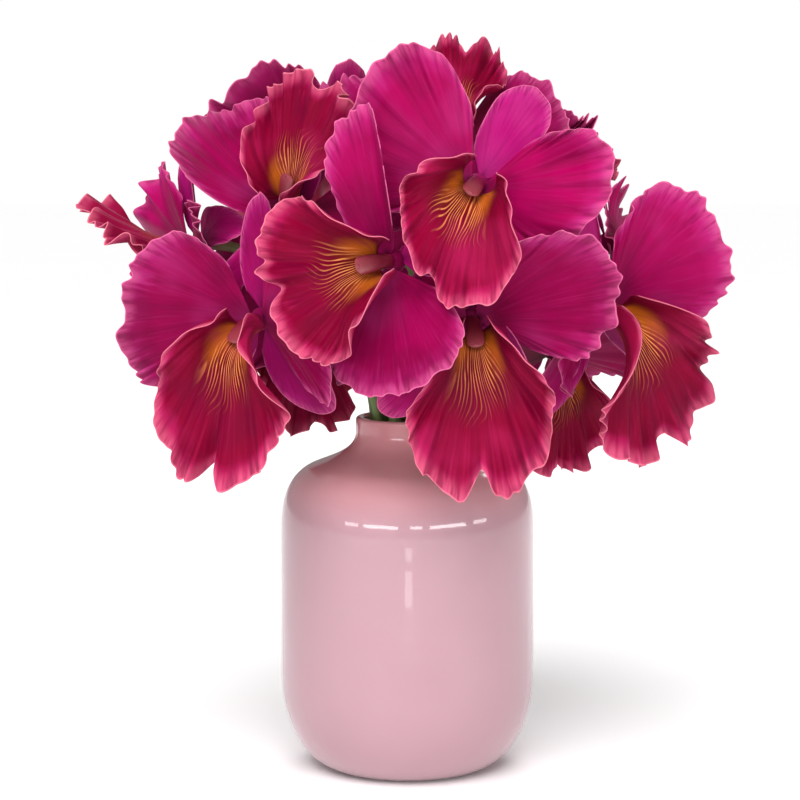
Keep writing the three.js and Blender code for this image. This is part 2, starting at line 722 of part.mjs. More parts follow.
function bouquet() {
  const blooms = BLOOMS.map((spec, i) => {
    const bloom = { ...spec, seed: i + 1, middle: vector(spec.at), ...bloomAxes(spec) };
    bloom.sepalBlades = sepalBlades(bloom);
    bloom.petalBlades = petalBlades(bloom);
    bloom.lipBlade = lipBlade(bloom);
    return bloom;
  });
  placeStems(blooms);
  bendClear(
    blooms.flatMap((bloom) => [...bloom.sepalBlades, ...bloom.petalBlades, bloom.lipBlade]),
    blooms.map((bloom) => ({ bloom, points: bloom.stemPath.curves[0].getPoints(STEM_SAMPLES) })),
  );
  const group = new THREE.Group();
  group.name = 'cattleyas_in_vase';
  addMesh(group, 'vase', vaseGeometry(), COLOURS.vase);
  addMesh(group, 'water', waterGeometry(blooms.map(({ stemPath: path }) => path)), COLOURS.water);
  blooms.forEach((bloom, i) => {
    const name = `bloom_${String(i + 1).padStart(2, '0')}`;
    addMesh(group, `${name}_tepals`, tepalsGeometry(bloom), COLOURS.tepals);
    addMesh(group, `${name}_lip`, bladeGeometry(bloom.lipBlade, LIP_RINGS), COLOURS.lip);
    addMesh(group, `${name}_column`, columnGeometry(bloom), COLOURS.column);
    addMesh(group, `${name}_stem`, barePosition(stemGeometry(bloom.stemPath, STEM_RADIUS)), COLOURS.stem);
  });
  return group;
}

const group = bouquet();

export default group;
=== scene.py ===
"""Cattleya orchids in a pink bottle vase, dressed for rendering.

The shapes follow the part's own rules in millimetres: every sepal, petal and lip is a blade laid
out as a fan from its root, rolled across, bent along its midrib and waved at its margin, and
blades of different blooms are bent to either side of a plane where they would cross. Here the
blades get fine ruffles, thin round margins and veined, velvety finishes, with painted shade and
painted sheen in soft patches and on the pleats and a painted highlight along the margin. The
vase's shoulder and neck get painted light where the bouquet shades them.
"""
import logging
import math
from dataclasses import dataclass, field, replace
from enum import Enum, IntEnum
from typing import Any, Iterable, Sequence, Union

import bpy
import numpy as np
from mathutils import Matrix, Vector


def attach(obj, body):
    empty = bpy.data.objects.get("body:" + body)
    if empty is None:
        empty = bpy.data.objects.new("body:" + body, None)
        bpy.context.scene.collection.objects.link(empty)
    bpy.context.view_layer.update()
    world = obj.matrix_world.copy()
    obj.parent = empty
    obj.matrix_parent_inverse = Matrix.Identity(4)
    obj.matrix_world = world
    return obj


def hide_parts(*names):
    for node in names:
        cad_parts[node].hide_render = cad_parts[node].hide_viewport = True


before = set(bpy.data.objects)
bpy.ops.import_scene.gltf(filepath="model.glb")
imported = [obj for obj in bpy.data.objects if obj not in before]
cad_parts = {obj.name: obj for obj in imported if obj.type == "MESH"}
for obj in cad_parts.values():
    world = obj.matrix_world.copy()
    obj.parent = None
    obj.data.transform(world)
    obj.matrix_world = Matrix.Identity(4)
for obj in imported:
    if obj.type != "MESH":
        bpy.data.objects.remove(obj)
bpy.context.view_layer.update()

LOG = logging.getLogger("bouquet")
MM = 0.001

Socket = bpy.types.NodeSocket
Number = Union[float, Socket]
Colour = tuple[float, float, float]
Relief = tuple[float, float]
Station = tuple[float, float, float, float]

FAN_TURN = 0.8 * math.pi
MIDRIB_STATIONS = 160
TUBE_RADIUS = 8.5
BLADE_GAP = 2.6
MIDDLE_TONE = 0.5
DRAW_MIX = (12.9898, 78.233, 43758.5453)
SEEDS_EACH = 7
FIRST_PETAL_SEED = 3
LIP_SEED = 5


class Draw(IntEnum):
    """Where each use starts in the numbered draws of a blade or bloom."""

    PHASE = 3
    SEPAL_LEAN = 24
    SEPAL_TWIST = 28
    PETAL_LEAN_ROOT = 32
    PETAL_LEAN_TIP = 36
    PETAL_CUP = 38
    PETAL_TWIST = 40
    SEPAL_TONE = 50
    PETAL_TONE = 54
    LIP_TONE = 58


def draw(seed: int, index: int) -> float:
    """A repeatable draw between 0 and 1.

    Args:
        seed: the bloom's or blade's number.
        index: which of its draws.

    Returns:
        The draw.
    """
    by_seed, by_index, scale = DRAW_MIX
    value = math.sin(seed * by_seed + index * by_index) * scale
    return value - math.floor(value)


def ease(x: np.ndarray) -> np.ndarray:
    """Smooth step from 0 to 1."""
    c = np.clip(x, 0.0, 1.0)
    return c * c * (3.0 - 2.0 * c)


def unit(v: np.ndarray) -> np.ndarray:
    """The vectors at length 1."""
    return v / (np.linalg.norm(v, axis=-1, keepdims=True) + 1e-12)


def ring_turns(sides: int, start: float = 0.0) -> np.ndarray:
    """The turns of a ring's points, the first of which lies a share of a side from 0."""
    return 2.0 * math.pi * (np.arange(sides) + start) / sides


class Kind(Enum):
    """What a blade is on its bloom."""

    SEPAL = "sepal"
    PETAL = "petal"
    LIP = "lip"


@dataclass(frozen=True)
class ShellForm:
    """How finely a blade is cut, and its thickness in millimetres at the root and at the margin."""

    rings: int
    segments: int
    thickness: tuple[float, float]


SHELLS: dict[Kind, ShellForm] = {
    Kind.SEPAL: ShellForm(12, 32, (0.8, 0.5)),
    Kind.PETAL: ShellForm(22, 176, (0.7, 0.4)),
    Kind.LIP: ShellForm(26, 216, (0.7, 0.4)),
}


@dataclass(frozen=True)
class Wave:
    """A swing of the sheet out of its own plane, growing towards the margin."""

    height: float
    cycles: float
    power: float


@dataclass(frozen=True)
class Ripple:
    """A sine round the margin, which reads one of the blade's phases."""

    height: float
    cycles: float
    phase: int

    def at(self, t: np.ndarray, phases: Sequence[float], ahead: int = 0) -> np.ndarray:
        """Its value at each turn, read from a phase that many places ahead of its own."""
        return self.height * np.sin(self.cycles * t + phases[self.phase + ahead])


@dataclass(frozen=True)
class BladeShape:
    """The form of one sepal, petal or lip, in millimetres and degrees."""

    kind: Kind
    length: float
    width: float
    seed: int
    waves: tuple[Wave, ...]
    stiff: float
    widest: float = 0.7
    point: float = 0.0
    lean: tuple[float, float] = (0.0, 0.0)
    bend: tuple[float, float] = (0.0, 1.0)
    cup: tuple[float, float] = (0.0, 0.0)
    cup_span: tuple[float, float] = (0.0, 1.0)
    tube: bool = False
    twist: float = 0.0
    scallop: float = 0.0
    notch: float = 0.0


@dataclass(frozen=True)
class Fold:
    """A squeeze along a normal that starts behind a knee and never passes its limit."""

    normal: np.ndarray
    knee: float
    bend: float

    def apply(self, points: np.ndarray) -> np.ndarray:
        """The points, with those past the knee squeezed."""
        past = np.maximum(points @ self.normal - self.knee, 0.0)
        return points + (past / (1.0 + self.bend * past) - past)[..., None] * self.normal


@dataclass
class MeshData:
    """Points, faces and shading values of a mesh in the making, in millimetres.

    leaf holds, for each point, how far it lies from root to margin, where round the margin it
    lies, and its tone. side is 1 on a blade's face and 0 on its back.
    """

    points: np.ndarray
    faces: list[np.ndarray]
    leaf: np.ndarray
    side: np.ndarray

    @staticmethod
    def joined(parts: Sequence["MeshData"]) -> "MeshData":
        """One mesh of several.

        Args:
            parts: the meshes.

        Returns:
            The joined mesh.
        """
        faces: list[np.ndarray] = []
        start = 0
        for part in parts:
            faces.extend(block + start for block in part.faces)
            start += len(part.points)
        return MeshData(
            np.concatenate([part.points for part in parts]),
            faces,
            np.concatenate([part.leaf for part in parts]),
            np.concatenate([part.side for part in parts]),
        )

    def to_object(self, name: str, material: bpy.types.Material) -> bpy.types.Object:
        """Makes the Blender object.

        Args:
            name: the piece's name.
            material: its finish.

        Returns:
            The object, linked to the scene.
        """
        mesh = bpy.data.meshes.new(name)
        sizes = np.concatenate([np.full(len(block), block.shape[1]) for block in self.faces])
        corners = np.concatenate([block.ravel() for block in self.faces])
        mesh.vertices.add(len(self.points))
        mesh.vertices.foreach_set("co", (self.points * MM).astype(np.float32).ravel())
        mesh.loops.add(len(corners))
        mesh.loops.foreach_set("vertex_index", corners.astype(np.int32))
        mesh.polygons.add(len(sizes))
        mesh.polygons.foreach_set("loop_start", (np.cumsum(sizes) - sizes).astype(np.int32))
        mesh.polygons.foreach_set("use_smooth", np.ones(len(sizes), dtype=bool))
        mesh.update(calc_edges=True)
        leaf = mesh.attributes.new("leaf", "FLOAT_VECTOR", "POINT")
        leaf.data.foreach_set("vector", self.leaf.astype(np.float32).ravel())
        side = mesh.attributes.new("side", "FLOAT", "POINT")
        side.data.foreach_set("value", self.side.astype(np.float32))
        mesh.materials.append(material)
        piece = bpy.data.objects.new(name, mesh)
        bpy.context.scene.collection.objects.link(piece)
        return piece


class Blade:
    """A blade in its place on a bloom, with the folds that keep it off its neighbours.

    Both teeth scallop the margin. The calm pairs are the least strength of the small ruffles and
    what is added where they swell, and stray moves the crests out of step.
    """

    phase_count = 12
    root_place = 1e-4
    flat_roll = 1e-6
    roll_limit = 1.12
    stray = (Ripple(0.9, 2.0, 4), Ripple(0.5, 5.3, 7), Ripple(0.3, 11.7, 5))
    tooth = Ripple(1.0, 9.0, 7)
    small_tooth = Ripple(0.4, 16.0, 8)
    tooth_power = 4
    free_until = 0.55
    free_fade = 0.25
    notch_width = 0.16
    notch_power = 3
    root_swing = 0.3
    margin_swing = 0.7
    wave_calm = (0.35, 1.3)
    wave_calm_cycles = 2
    wave_calm_phase = 9
    fringe_wave = 2
    fringe_calm = (0.08, 0.45)
    fringe_calm_cycles = 4
    fringe_calm_phase = 11
    fringe_lag = 1.1
    fringe_power = 6
    net_rings = 7
    net_segments = 32
    fold_start = 0.2
    fold_room = 1.0
    ring_crowding = 1.5
    thinning = 3
    nudge = 1e-3

    def __init__(
        self, bloom: str, shape: BladeShape, origin: np.ndarray, basis: np.ndarray
    ) -> None:
        """Places the blade.

        Args:
            bloom: the name of the bloom that it grows on.
            shape: its form.
            origin: where its root is.
            basis: columns across, along and rise.
        """
        self.bloom = bloom
        self.shape = shape
        self.origin = origin
        self.basis = basis
        self.folds: list[Fold] = []
        draws = range(Draw.PHASE, Draw.PHASE + self.phase_count)
        self.phase = [2.0 * math.pi * draw(shape.seed, index) for index in draws]
        self.step = shape.length / MIDRIB_STATIONS
        pitch = self.pitch((np.arange(MIDRIB_STATIONS) + 0.5) / MIDRIB_STATIONS)
        self.reach = np.concatenate([[0.0], np.cumsum(np.cos(pitch))]) * self.step
        self.climb = np.concatenate([[0.0], np.cumsum(np.sin(pitch))]) * self.step

    def pitch(self, share: np.ndarray) -> np.ndarray:
        """The midrib's slope.

        Args:
            share: share of its length.

        Returns:
            The slope there in radians.
        """
        low, high = self.shape.bend
        lean = self.shape.lean
        return np.radians(lean[0] + (lean[1] - lean[0]) * ease((share - low) / (high - low)))

    def half_width(self, y: np.ndarray) -> np.ndarray:
        """Half the flat outline's width.

        Args:
            y: place along the midrib.

        Returns:
            Half the width there.
        """
        shape = self.shape
        share = np.clip(y / shape.length, 0.0, 1.0)
        turn = np.arccos(np.clip(2.0 * share ** (1.0 / shape.widest) - 1.0, -1.0, 1.0))
        return shape.width / 2.0 * np.sin(turn) * np.sin(turn / 2.0) ** shape.point

    def roll(self, x: np.ndarray, y: np.ndarray) -> np.ndarray:
        """How far the sheet is rolled.

        Args:
            x: place across.
            y: place along.

        Returns:
            The roll there in radians.
        """
        shape = self.shape
        low, high = shape.cup_span
        share = ease((y / shape.length - low) / (high - low))
        big = np.radians(shape.cup[0] + (shape.cup[1] - shape.cup[0]) * share)
        span = shape.width / 2.0
        if shape.tube:
            span = np.maximum(self.half_width(y), TUBE_RADIUS * big)
        return big * np.clip(x / span, -self.roll_limit, self.roll_limit)

    def wander(self, t: np.ndarray, i: int) -> np.ndarray:
        """How far the crests of a wave stray from an even spacing, in radians."""
        strays = self.stray if i > 0 else self.stray[:1]
        return sum(ripple.at(t, self.phase, i) for ripple in strays)

    def calm(
        self, t: np.ndarray, cycles: int, phase: int, levels: tuple[float, float]
    ) -> np.ndarray:
        """The strength of ruffles that die down and swell again round the margin.

        Args:
            t: turn round the margin.
            cycles: how often they swell.
            phase: which of the blade's phases is read.
            levels: the lowest strength, and what the swell adds.

        Returns:
            The strength at each turn.
        """
        swell = 0.5 + 0.5 * np.sin(cycles * t + self.phase[phase])
        return levels[0] + levels[1] * swell * swell

    def wave(self, r: np.ndarray, t: np.ndarray, free: np.ndarray, fine: bool) -> np.ndarray:
        """The sheet's swing at a place of the fan.

        Args:
            r: share of the way from root to margin.
            t: turn round the margin.
            free: 1 where the margin is free, 0 near the root.
            fine: whether the small ruffles are in.

        Returns:
            The swing in millimetres.
        """
        total = np.zeros_like(r * t)
        hold = self.root_swing + self.margin_swing * free
        for i, wave in enumerate(self.shape.waves if fine else self.shape.waves[:1]):
            gate = 1.0
            if i > 0:
                cycles = self.wave_calm_cycles + i
                gate = self.calm(t, cycles, self.wave_calm_phase + i, self.wave_calm)
            swing = np.sin(wave.cycles * t + self.phase[i] + self.wander(t, i))
            total = total + wave.height * gate * r ** wave.power * swing * hold
        return total

    def fringe(self, r: np.ndarray, t: np.ndarray, fine: bool) -> Union[float, np.ndarray]:
        """How far the small ruffles push the outline in and out, in units of the scallop.

        Args:
            r: share of the way from root to margin.
            t: turn round the margin.
            fine: whether the small ruffles are in.

        Returns:
            The push.
        """
        i = self.fringe_wave
        if not fine or len(self.shape.waves) <= i:
            return 0.0
        crests = self.shape.waves[i].cycles * t + self.phase[i] + self.wander(t, i)
        turn = crests + self.fringe_lag
        calm = self.calm(t, self.fringe_calm_cycles, self.fringe_calm_phase, self.fringe_calm)
        return self.small_tooth.at(t, self.phase) + calm * r ** self.fringe_power * np.sin(turn)

    def local(self, r: np.ndarray, t: np.ndarray, fine: bool) -> np.ndarray:
        """The middle surface before it is placed.

        Args:
            r: share of the way from root to margin.
            t: turn round the margin.
            fine: whether the small ruffles are in.

        Returns:
            Places across, along and in rise in the last axis.
        """
        shape = self.shape
        free = 1.0 - ease((np.abs(t) / math.pi - self.free_until) / self.free_fade)
        edge = self.tooth.at(t, self.phase) + self.fringe(r, t, fine)
        teeth = 1.0 + shape.scallop * free * r ** self.tooth_power * edge
        tip = 1.0 - shape.notch * np.exp(-((t / self.notch_width) ** 2)) * r ** self.notch_power
        side = shape.width / 2.0 * np.sin(t) * np.abs(np.sin(t / 2.0)) ** shape.point
        x = r * side * teeth
        y = r * shape.length * ((1.0 + np.cos(t)) / 2.0) ** shape.widest * teeth * tip
        roll = self.roll(x, y)
        safe = np.where(np.abs(roll) < self.flat_roll, self.flat_roll, roll)
        swing = self.wave(r, t, free, fine)
        flat_across = x * np.sin(safe) / safe - np.sin(roll) * swing
        flat_rise = x * (1.0 - np.cos(safe)) / safe + np.cos(roll) * swing
        twist = math.radians(shape.twist) * y / shape.length
        across = flat_across * np.cos(twist) - flat_rise * np.sin(twist)
        rise = flat_across * np.sin(twist) + flat_rise * np.cos(twist)
        place = np.clip(y / self.step, 0.0, MIDRIB_STATIONS - 1e-9)
        station = place.astype(int)
        part = place - station
        along = self.reach[station] * (1.0 - part) + self.reach[station + 1] * part
        climb = self.climb[station] * (1.0 - part) + self.climb[station + 1] * part
        pitch = self.pitch(y / shape.length)
        return np.stack(
            [across, along - rise * np.sin(pitch), climb + rise * np.cos(pitch)], axis=-1
        )

    def at(self, r: np.ndarray, t: np.ndarray, fine: bool = True) -> np.ndarray:
        """The middle surface in its place.

        Args:
            r: share of the way from root to margin.
            t: turn round the margin.
            fine: whether the small ruffles are in.

        Returns:
            Points in the last axis.
        """
        points = self.local(r, t, fine) @ self.basis.T + self.origin
        for fold in self.folds:
            points = fold.apply(points)
        return points

    def root(self) -> np.ndarray:
        """The blade's root."""
        return self.at(np.array([self.root_place]), np.array([0.0]))[0]

    def samples(self) -> np.ndarray:
        """A coarse net of points, by which neighbours are found and parted.

        Returns:
            The points.
        """
        r = (np.arange(1, self.net_rings + 1) / self.net_rings)[:, None]
        t = np.linspace(-FAN_TURN, FAN_TURN, self.net_segments + 1)[None, :]
        return self.at(*np.broadcast_arrays(r, t), fine=False).reshape(-1, 3)

    def fold_behind(self, points: np.ndarray, normal: np.ndarray, limit: float) -> np.ndarray:
        """Folds the blade so that none of its points passes the limit along the normal.

        Args:
            points: the blade's samples.
            normal: the direction of the squeeze.
            limit: the farthest place along it.

        Returns:
            The folded samples.
        """
        top = float((points @ normal).max())
        if top <= limit:
            return points
        root_side = float(self.root() @ normal)
        knee = min(root_side + self.fold_start * (limit - root_side), limit - self.fold_room)
        fold = Fold(normal, knee, 1.0 / (limit - knee) - 1.0 / (top - knee))
        self.folds.append(fold)
        return fold.apply(points)

    def shell(self, tone: float) -> MeshData:
        """The blade as a thin closed shell with a round margin.

        Args:
            tone: the blade's own shade, from 0 to 1.

        Returns:
            The mesh.
        """
        form = SHELLS[self.shape.kind]
        thick, thin = form.thickness
        e = self.nudge
        row = 1.0 - (1.0 - np.arange(1, form.rings + 1) / form.rings) ** self.ring_crowding
        turn = np.linspace(-FAN_TURN, FAN_TURN, form.segments + 1)
        r, t = np.broadcast_arrays(row[:, None], turn[None, :])
        middle = self.at(r, t)
        outward = self.at(r + e, t) - self.at(r - e, t)
        normal = unit(np.cross(self.at(r, t + e) - self.at(r, t - e), outward))
        half = ((thick + (thin - thick) * r ** self.thinning) / 2.0)[..., None] * normal
        root = self.root()
        root_half = normal[0].mean(axis=0) * thick / 2.0
        edge = middle[-1] + unit(outward[-1]) * thin * 0.5
        points = np.concatenate([
            (root + root_half)[None], (middle + half).reshape(-1, 3),
            (root - root_half)[None], (middle - half).reshape(-1, 3), edge,
        ])
        fan = np.stack([r, t / math.pi, np.full(r.shape, tone)], axis=-1).reshape(-1, 3)
        tip = np.array([[0.0, 0.0, tone]])
        rim = np.stack([np.ones_like(turn), turn / math.pi, np.full(turn.shape, tone)], axis=-1)
        count = 1 + len(fan)
        side = np.concatenate([np.ones(count), np.zeros(count), np.full(len(rim), 0.5)])
        faces = self.shell_faces(form, count)
        return MeshData(points, faces, np.concatenate([tip, fan, tip, fan, rim]), side)

    @staticmethod
    def shell_faces(form: ShellForm, back: int) -> list[np.ndarray]:
        """The faces of a shell: face, back, round margin and the two straight sides at the root.

        Args:
            form: how finely the blade is cut.
            back: index of the first point of the back.

        Returns:
            Blocks of triangles and quads.
        """
        segments = form.segments
        wide = segments + 1
        net = 1 + np.arange(form.rings * wide).reshape(form.rings, wide)
        quads = np.stack(
            [net[:-1, :-1], net[:-1, 1:], net[1:, 1:], net[1:, :-1]], axis=-1
        ).reshape(-1, 4)
        fan = np.stack([np.zeros(segments, int), net[0, 1:], net[0, :-1]], axis=-1)
        edge = 2 * back + np.arange(wide)
        rim = net[-1]
        near_face = np.stack([rim[:-1], rim[1:], edge[1:], edge[:-1]], axis=-1)
        near_back = np.stack([edge[:-1], edge[1:], rim[1:] + back, rim[:-1] + back], axis=-1)
        blocks = [quads, quads[:, ::-1] + back, fan, fan[:, ::-1] + back, near_face, near_back]
        for column, flip in ((0, False), (segments, True)):
            line = np.concatenate([[0], net[:, column]])
            wall = np.stack([line[:-1], line[1:], line[1:] + back, line[:-1] + back], axis=-1)
            cap = np.array([[rim[column], edge[column], rim[column] + back]])
            blocks += [wall[:, ::-1], cap[:, ::-1]] if flip else [wall, cap]
        return blocks


@dataclass(frozen=True)
class BloomPlan:
    """Where a bloom stands and how its own blades differ from the usual ones.

    The petals are the right and then the left one, and the sepals the top, right and left one, as
    seen from the bloom's front.
    """

    name: str
    at: tuple[float, float, float]
    face: tuple[float, float, float]
    roll: float
    size: float
    lip: dict[str, Any]
    spread: float = 70.0
    petals: tuple[dict[str, Any], ...] = ({}, {})
    sepals: tuple[dict[str, Any], ...] = ({}, {}, {})


PLANS: tuple[BloomPlan, ...] = (
    BloomPlan(
        "left", (-71, -52, 230), (-0.46, -0.83, -0.16), 8, 1.04, {"length": 86, "width": 70},
        petals=({"length": 62}, {"length": 72, "width": 88, "turn": -18}),
        sepals=({}, {"length": 54}, {"length": 66}),
    ),
    BloomPlan(
        "front", (-8, -82, 260), (-0.5, -0.86, 0.02), 72, 0.97, {"length": 64, "width": 80},
        petals=({"length": 62, "turn": 30}, {"turn": -12}),
        sepals=({"length": 46, "lean": (0, -34)}, {}, {}),
    ),
    BloomPlan(
        "high", (32, -72, 295), (-0.06, -0.96, 0.06), 32, 1.06, {"length": 70, "width": 76},
        petals=(
            {"length": 64, "width": 86, "turn": 10}, {"length": 74, "width": 88, "turn": -22},
        ),
        sepals=({"length": 56, "lean": (-6, -38)}, {"length": 50}, {"length": 50}),
    ),
    BloomPlan(
        "low", (30, -70, 231), (0.05, -0.95, -0.2), -2, 1, {"length": 88, "width": 70},
        petals=({"length": 82, "width": 86, "turn": -10}, {"length": 70}),
        sepals=({}, {"lean": (10, 0), "turn": -20}, {"length": 62}),
    ),
    BloomPlan(
        "right", (93, -36, 236), (0.70, -0.64, -0.3), -24, 1, {"length": 84, "width": 80},
    ),
    BloomPlan(
        "top_left", (-54, -42, 279), (-0.25, -0.62, 0.7), 205, 1,
        {"length": 68, "width": 66, "lean": (0, -52)}, spread=102, petals=({"length": 82}, {}),
    ),
    BloomPlan(
        "crown", (22, 0, 309), (0.1, -0.25, 0.95), 205, 0.96,
        {"length": 66, "width": 44, "lean": (0, -60)}, spread=105, petals=({"length": 80}, {}),
    ),
    BloomPlan(
        "top_right", (64, 28, 296), (0.42, 0.45, 0.72), 10, 0.86, {"length": 56, "width": 50},
    ),
    BloomPlan(
        "far_right", (103, 10, 264), (0.86, -0.1, 0.42), 20, 0.88, {"length": 54, "width": 64},
    ),
    BloomPlan(
        "far_left", (-106, -2, 262), (-0.86, -0.38, -0.04), 200, 0.88,
        {"length": 58, "width": 54, "lean": (0, -26)}, spread=100,
        petals=({"length": 56, "turn": -24}, {}),
    ),
    BloomPlan(
        "underside", (-42, 32, 226), (-0.6, 0.6, -0.42), 0, 0.95, {"length": 64, "width": 66},
    ),
    BloomPlan("back", (23, 82, 269), (0.25, 0.93, 0.05), 0, 1, {"length": 84, "width": 76}),
    BloomPlan(
        "back_top", (-40, 62, 303), (-0.42, 0.72, 0.5), 0, 0.95, {"length": 80, "width": 74},
    ),
    BloomPlan(
        "tucked", (73, 2, 209), (0.38, -0.6, -0.7), 0, 0.9,
        {"length": 60, "width": 58, "lean": (0, -54)}, sepals=({}, {}, {"length": 44}),
    ),
)


@dataclass(frozen=True)
class Step:
    """A smooth step: where a value starts and ends it, and the results on either side."""

    low: Number
    high: float
    start: float = 0.0
    end: float = 1.0


@dataclass(frozen=True)
class Cloud:
    """A cloud noise: cycles in a metre, and how many finer layers it has."""

    scale: float
    detail: float


@dataclass(frozen=True)
class Grain:
    """A drawn-out noise: cycles round the margin and from root to margin, and its finer layers."""

    across: float
    along: float
    detail: float


class NodeGraph:
    """A material's nodes, with short ways to add the usual ones.

    The places are those of the mix node's colour sockets, since several share a name.
    """

    mix_colours = (6, 7)
    mix_result = 2

    def __init__(self, name: str) -> None:
        """Starts a material with its shader.

        Args:
            name: the material's name.
        """
        self.material = bpy.data.materials.new(name)
        self.material.use_nodes = True
        self.tree = self.material.node_tree
        self.shader = self.tree.nodes["Principled BSDF"]

    def set(self, **values: Any) -> None:
        """Sets the shader's own sockets, named with underscores for spaces."""
        for key, value in values.items():
            self.shader.inputs[key.replace("_", " ")].default_value = value

    def feed(self, socket: str, source: Socket) -> None:
        """Links a source to one of the shader's sockets."""
        self.tree.links.new(source, self.shader.inputs[socket])

    def put(self, target: Socket, value: Any) -> None:
        """Links or sets an input.

        Args:
            target: the input.
            value: a socket, or the value itself.
        """
        if isinstance(value, bpy.types.NodeSocket):
            self.tree.links.new(value, target)
        else:
            target.default_value = value

    def math(self, operation: str, *values: Number) -> Socket:
        """A math node's result.

        Args:
            operation: the node's operation.
            values: its inputs in order.

        Returns:
            The result.
        """
        node = self.tree.nodes.new("ShaderNodeMath")
        node.operation = operation
        for slot, value in zip(node.inputs, values):
            self.put(slot, value)
        return node.outputs[0]

    def times(self, a: Number, b: Number) -> Socket:
        """The product of two numbers."""
        return self.math("MULTIPLY", a, b)

    def fade(self, value: Number, step: Step) -> Socket:
        """A smooth step of a value.

        Args:
            value: what is read.
            step: where it steps and how far.

        Returns:
            The result.
        """
        node = self.tree.nodes.new("ShaderNodeMapRange")
        node.interpolation_type = "SMOOTHSTEP"
        for slot, entry in zip(node.inputs, (value, step.low, step.high, step.start, step.end)):
            self.put(slot, entry)
        return node.outputs[0]

    def mix(self, share: Number, a: Any, b: Any) -> Socket:
        """Mixes two colours.

        Args:
            share: how much of b.
            a: a colour or a socket.
            b: a colour or a socket.

        Returns:
            The colour.
        """
        node = self.tree.nodes.new("ShaderNodeMix")
        node.data_type = "RGBA"
        self.put(node.inputs[0], share)
        for slot, value in zip(self.mix_colours, (a, b)):
            self.put(node.inputs[slot], (*value, 1.0) if isinstance(value, tuple) else value)
        return node.outputs[self.mix_result]

    def tint(self, colour: Any, other: Any, value: Socket, step: Step) -> Socket:
        """Lays another colour over the first, by as much as a step of a value says."""
        return self.mix(self.fade(value, step), colour, other)

    def ramp(self, value: Socket, stops: Sequence[tuple[float, Colour]]) -> Socket:
        """A colour that changes with a value.

        Args:
            value: what is read.
            stops: places and colours in rising order.

        Returns:
            The colour.
        """
        node = self.tree.nodes.new("ShaderNodeValToRGB")
        elements = node.color_ramp.elements
        while len(elements) < len(stops):
            elements.new(1.0)
        for element, (place, colour) in zip(elements, stops):
            element.position = place
            element.color = (*colour, 1.0)
        self.put(node.inputs[0], value)
        return node.outputs[0]

    def noise(self, vector: Socket, cloud: Cloud) -> Socket:
        """A cloud noise between 0 and 1.

        Args:
            vector: where it is read.
            cloud: how fine it is.

        Returns:
            The value.
        """
        node = self.tree.nodes.new("ShaderNodeTexNoise")
        self.put(node.inputs["Vector"], vector)
        node.inputs["Scale"].default_value = cloud.scale
        node.inputs["Detail"].default_value = cloud.detail
        return node.outputs[0]

    def streaks(self, t: Socket, r: Socket, shift: Number, grain: Grain) -> Socket:
        """A noise drawn out from root to margin.

        Args:
            t: turn round the margin.
            r: share of the way from root to margin.
            shift: the blade's own shift, so that no two are alike.
            grain: how fine it is each way.

        Returns:
            The value.
        """
        node = self.tree.nodes.new("ShaderNodeCombineXYZ")
        place = (self.times(t, grain.across), self.times(r, grain.along), shift)
        for slot, value in zip(node.inputs, place):
            self.put(slot, value)
        return self.noise(node.outputs[0], Cloud(1.0, grain.detail))

    def place(self) -> Socket:
        """The object's own coordinates, in metres."""
        return self.tree.nodes.new("ShaderNodeTexCoord").outputs["Object"]

    def split(self, vector: Socket) -> tuple[Socket, Socket, Socket]:
        """A vector's three numbers.

        Args:
            vector: what is read.

        Returns:
            The numbers.
        """
        parts = self.tree.nodes.new("ShaderNodeSeparateXYZ")
        self.tree.links.new(vector, parts.inputs[0])
        return parts.outputs[0], parts.outputs[1], parts.outputs[2]

    def attribute(self, name: str, output: str) -> Socket:
        """A value that the mesh carries at its points.

        Args:
            name: the attribute's name.
            output: which output is read.

        Returns:
            The value.
        """
        node = self.tree.nodes.new("ShaderNodeAttribute")
        node.attribute_name = name
        return node.outputs[output]

    def leaf(self) -> tuple[Socket, Socket, Socket, Socket]:
        """Share from root to margin, turn, tone and side."""
        return (*self.split(self.attribute("leaf", "Vector")), self.attribute("side", "Fac"))

    def bump(self, height: Socket, relief: Relief) -> None:
        """Feeds the shader's normal from a height.

        Args:
            height: the height, 0 to 1.
            relief: how strongly it shows, and its depth in metres.
        """
        node = self.tree.nodes.new("ShaderNodeBump")
        strength, distance = relief
        node.inputs["Strength"].default_value = strength
        node.inputs["Distance"].default_value = distance
        self.tree.links.new(height, node.inputs["Height"])
        self.feed("Normal", node.outputs["Normal"])


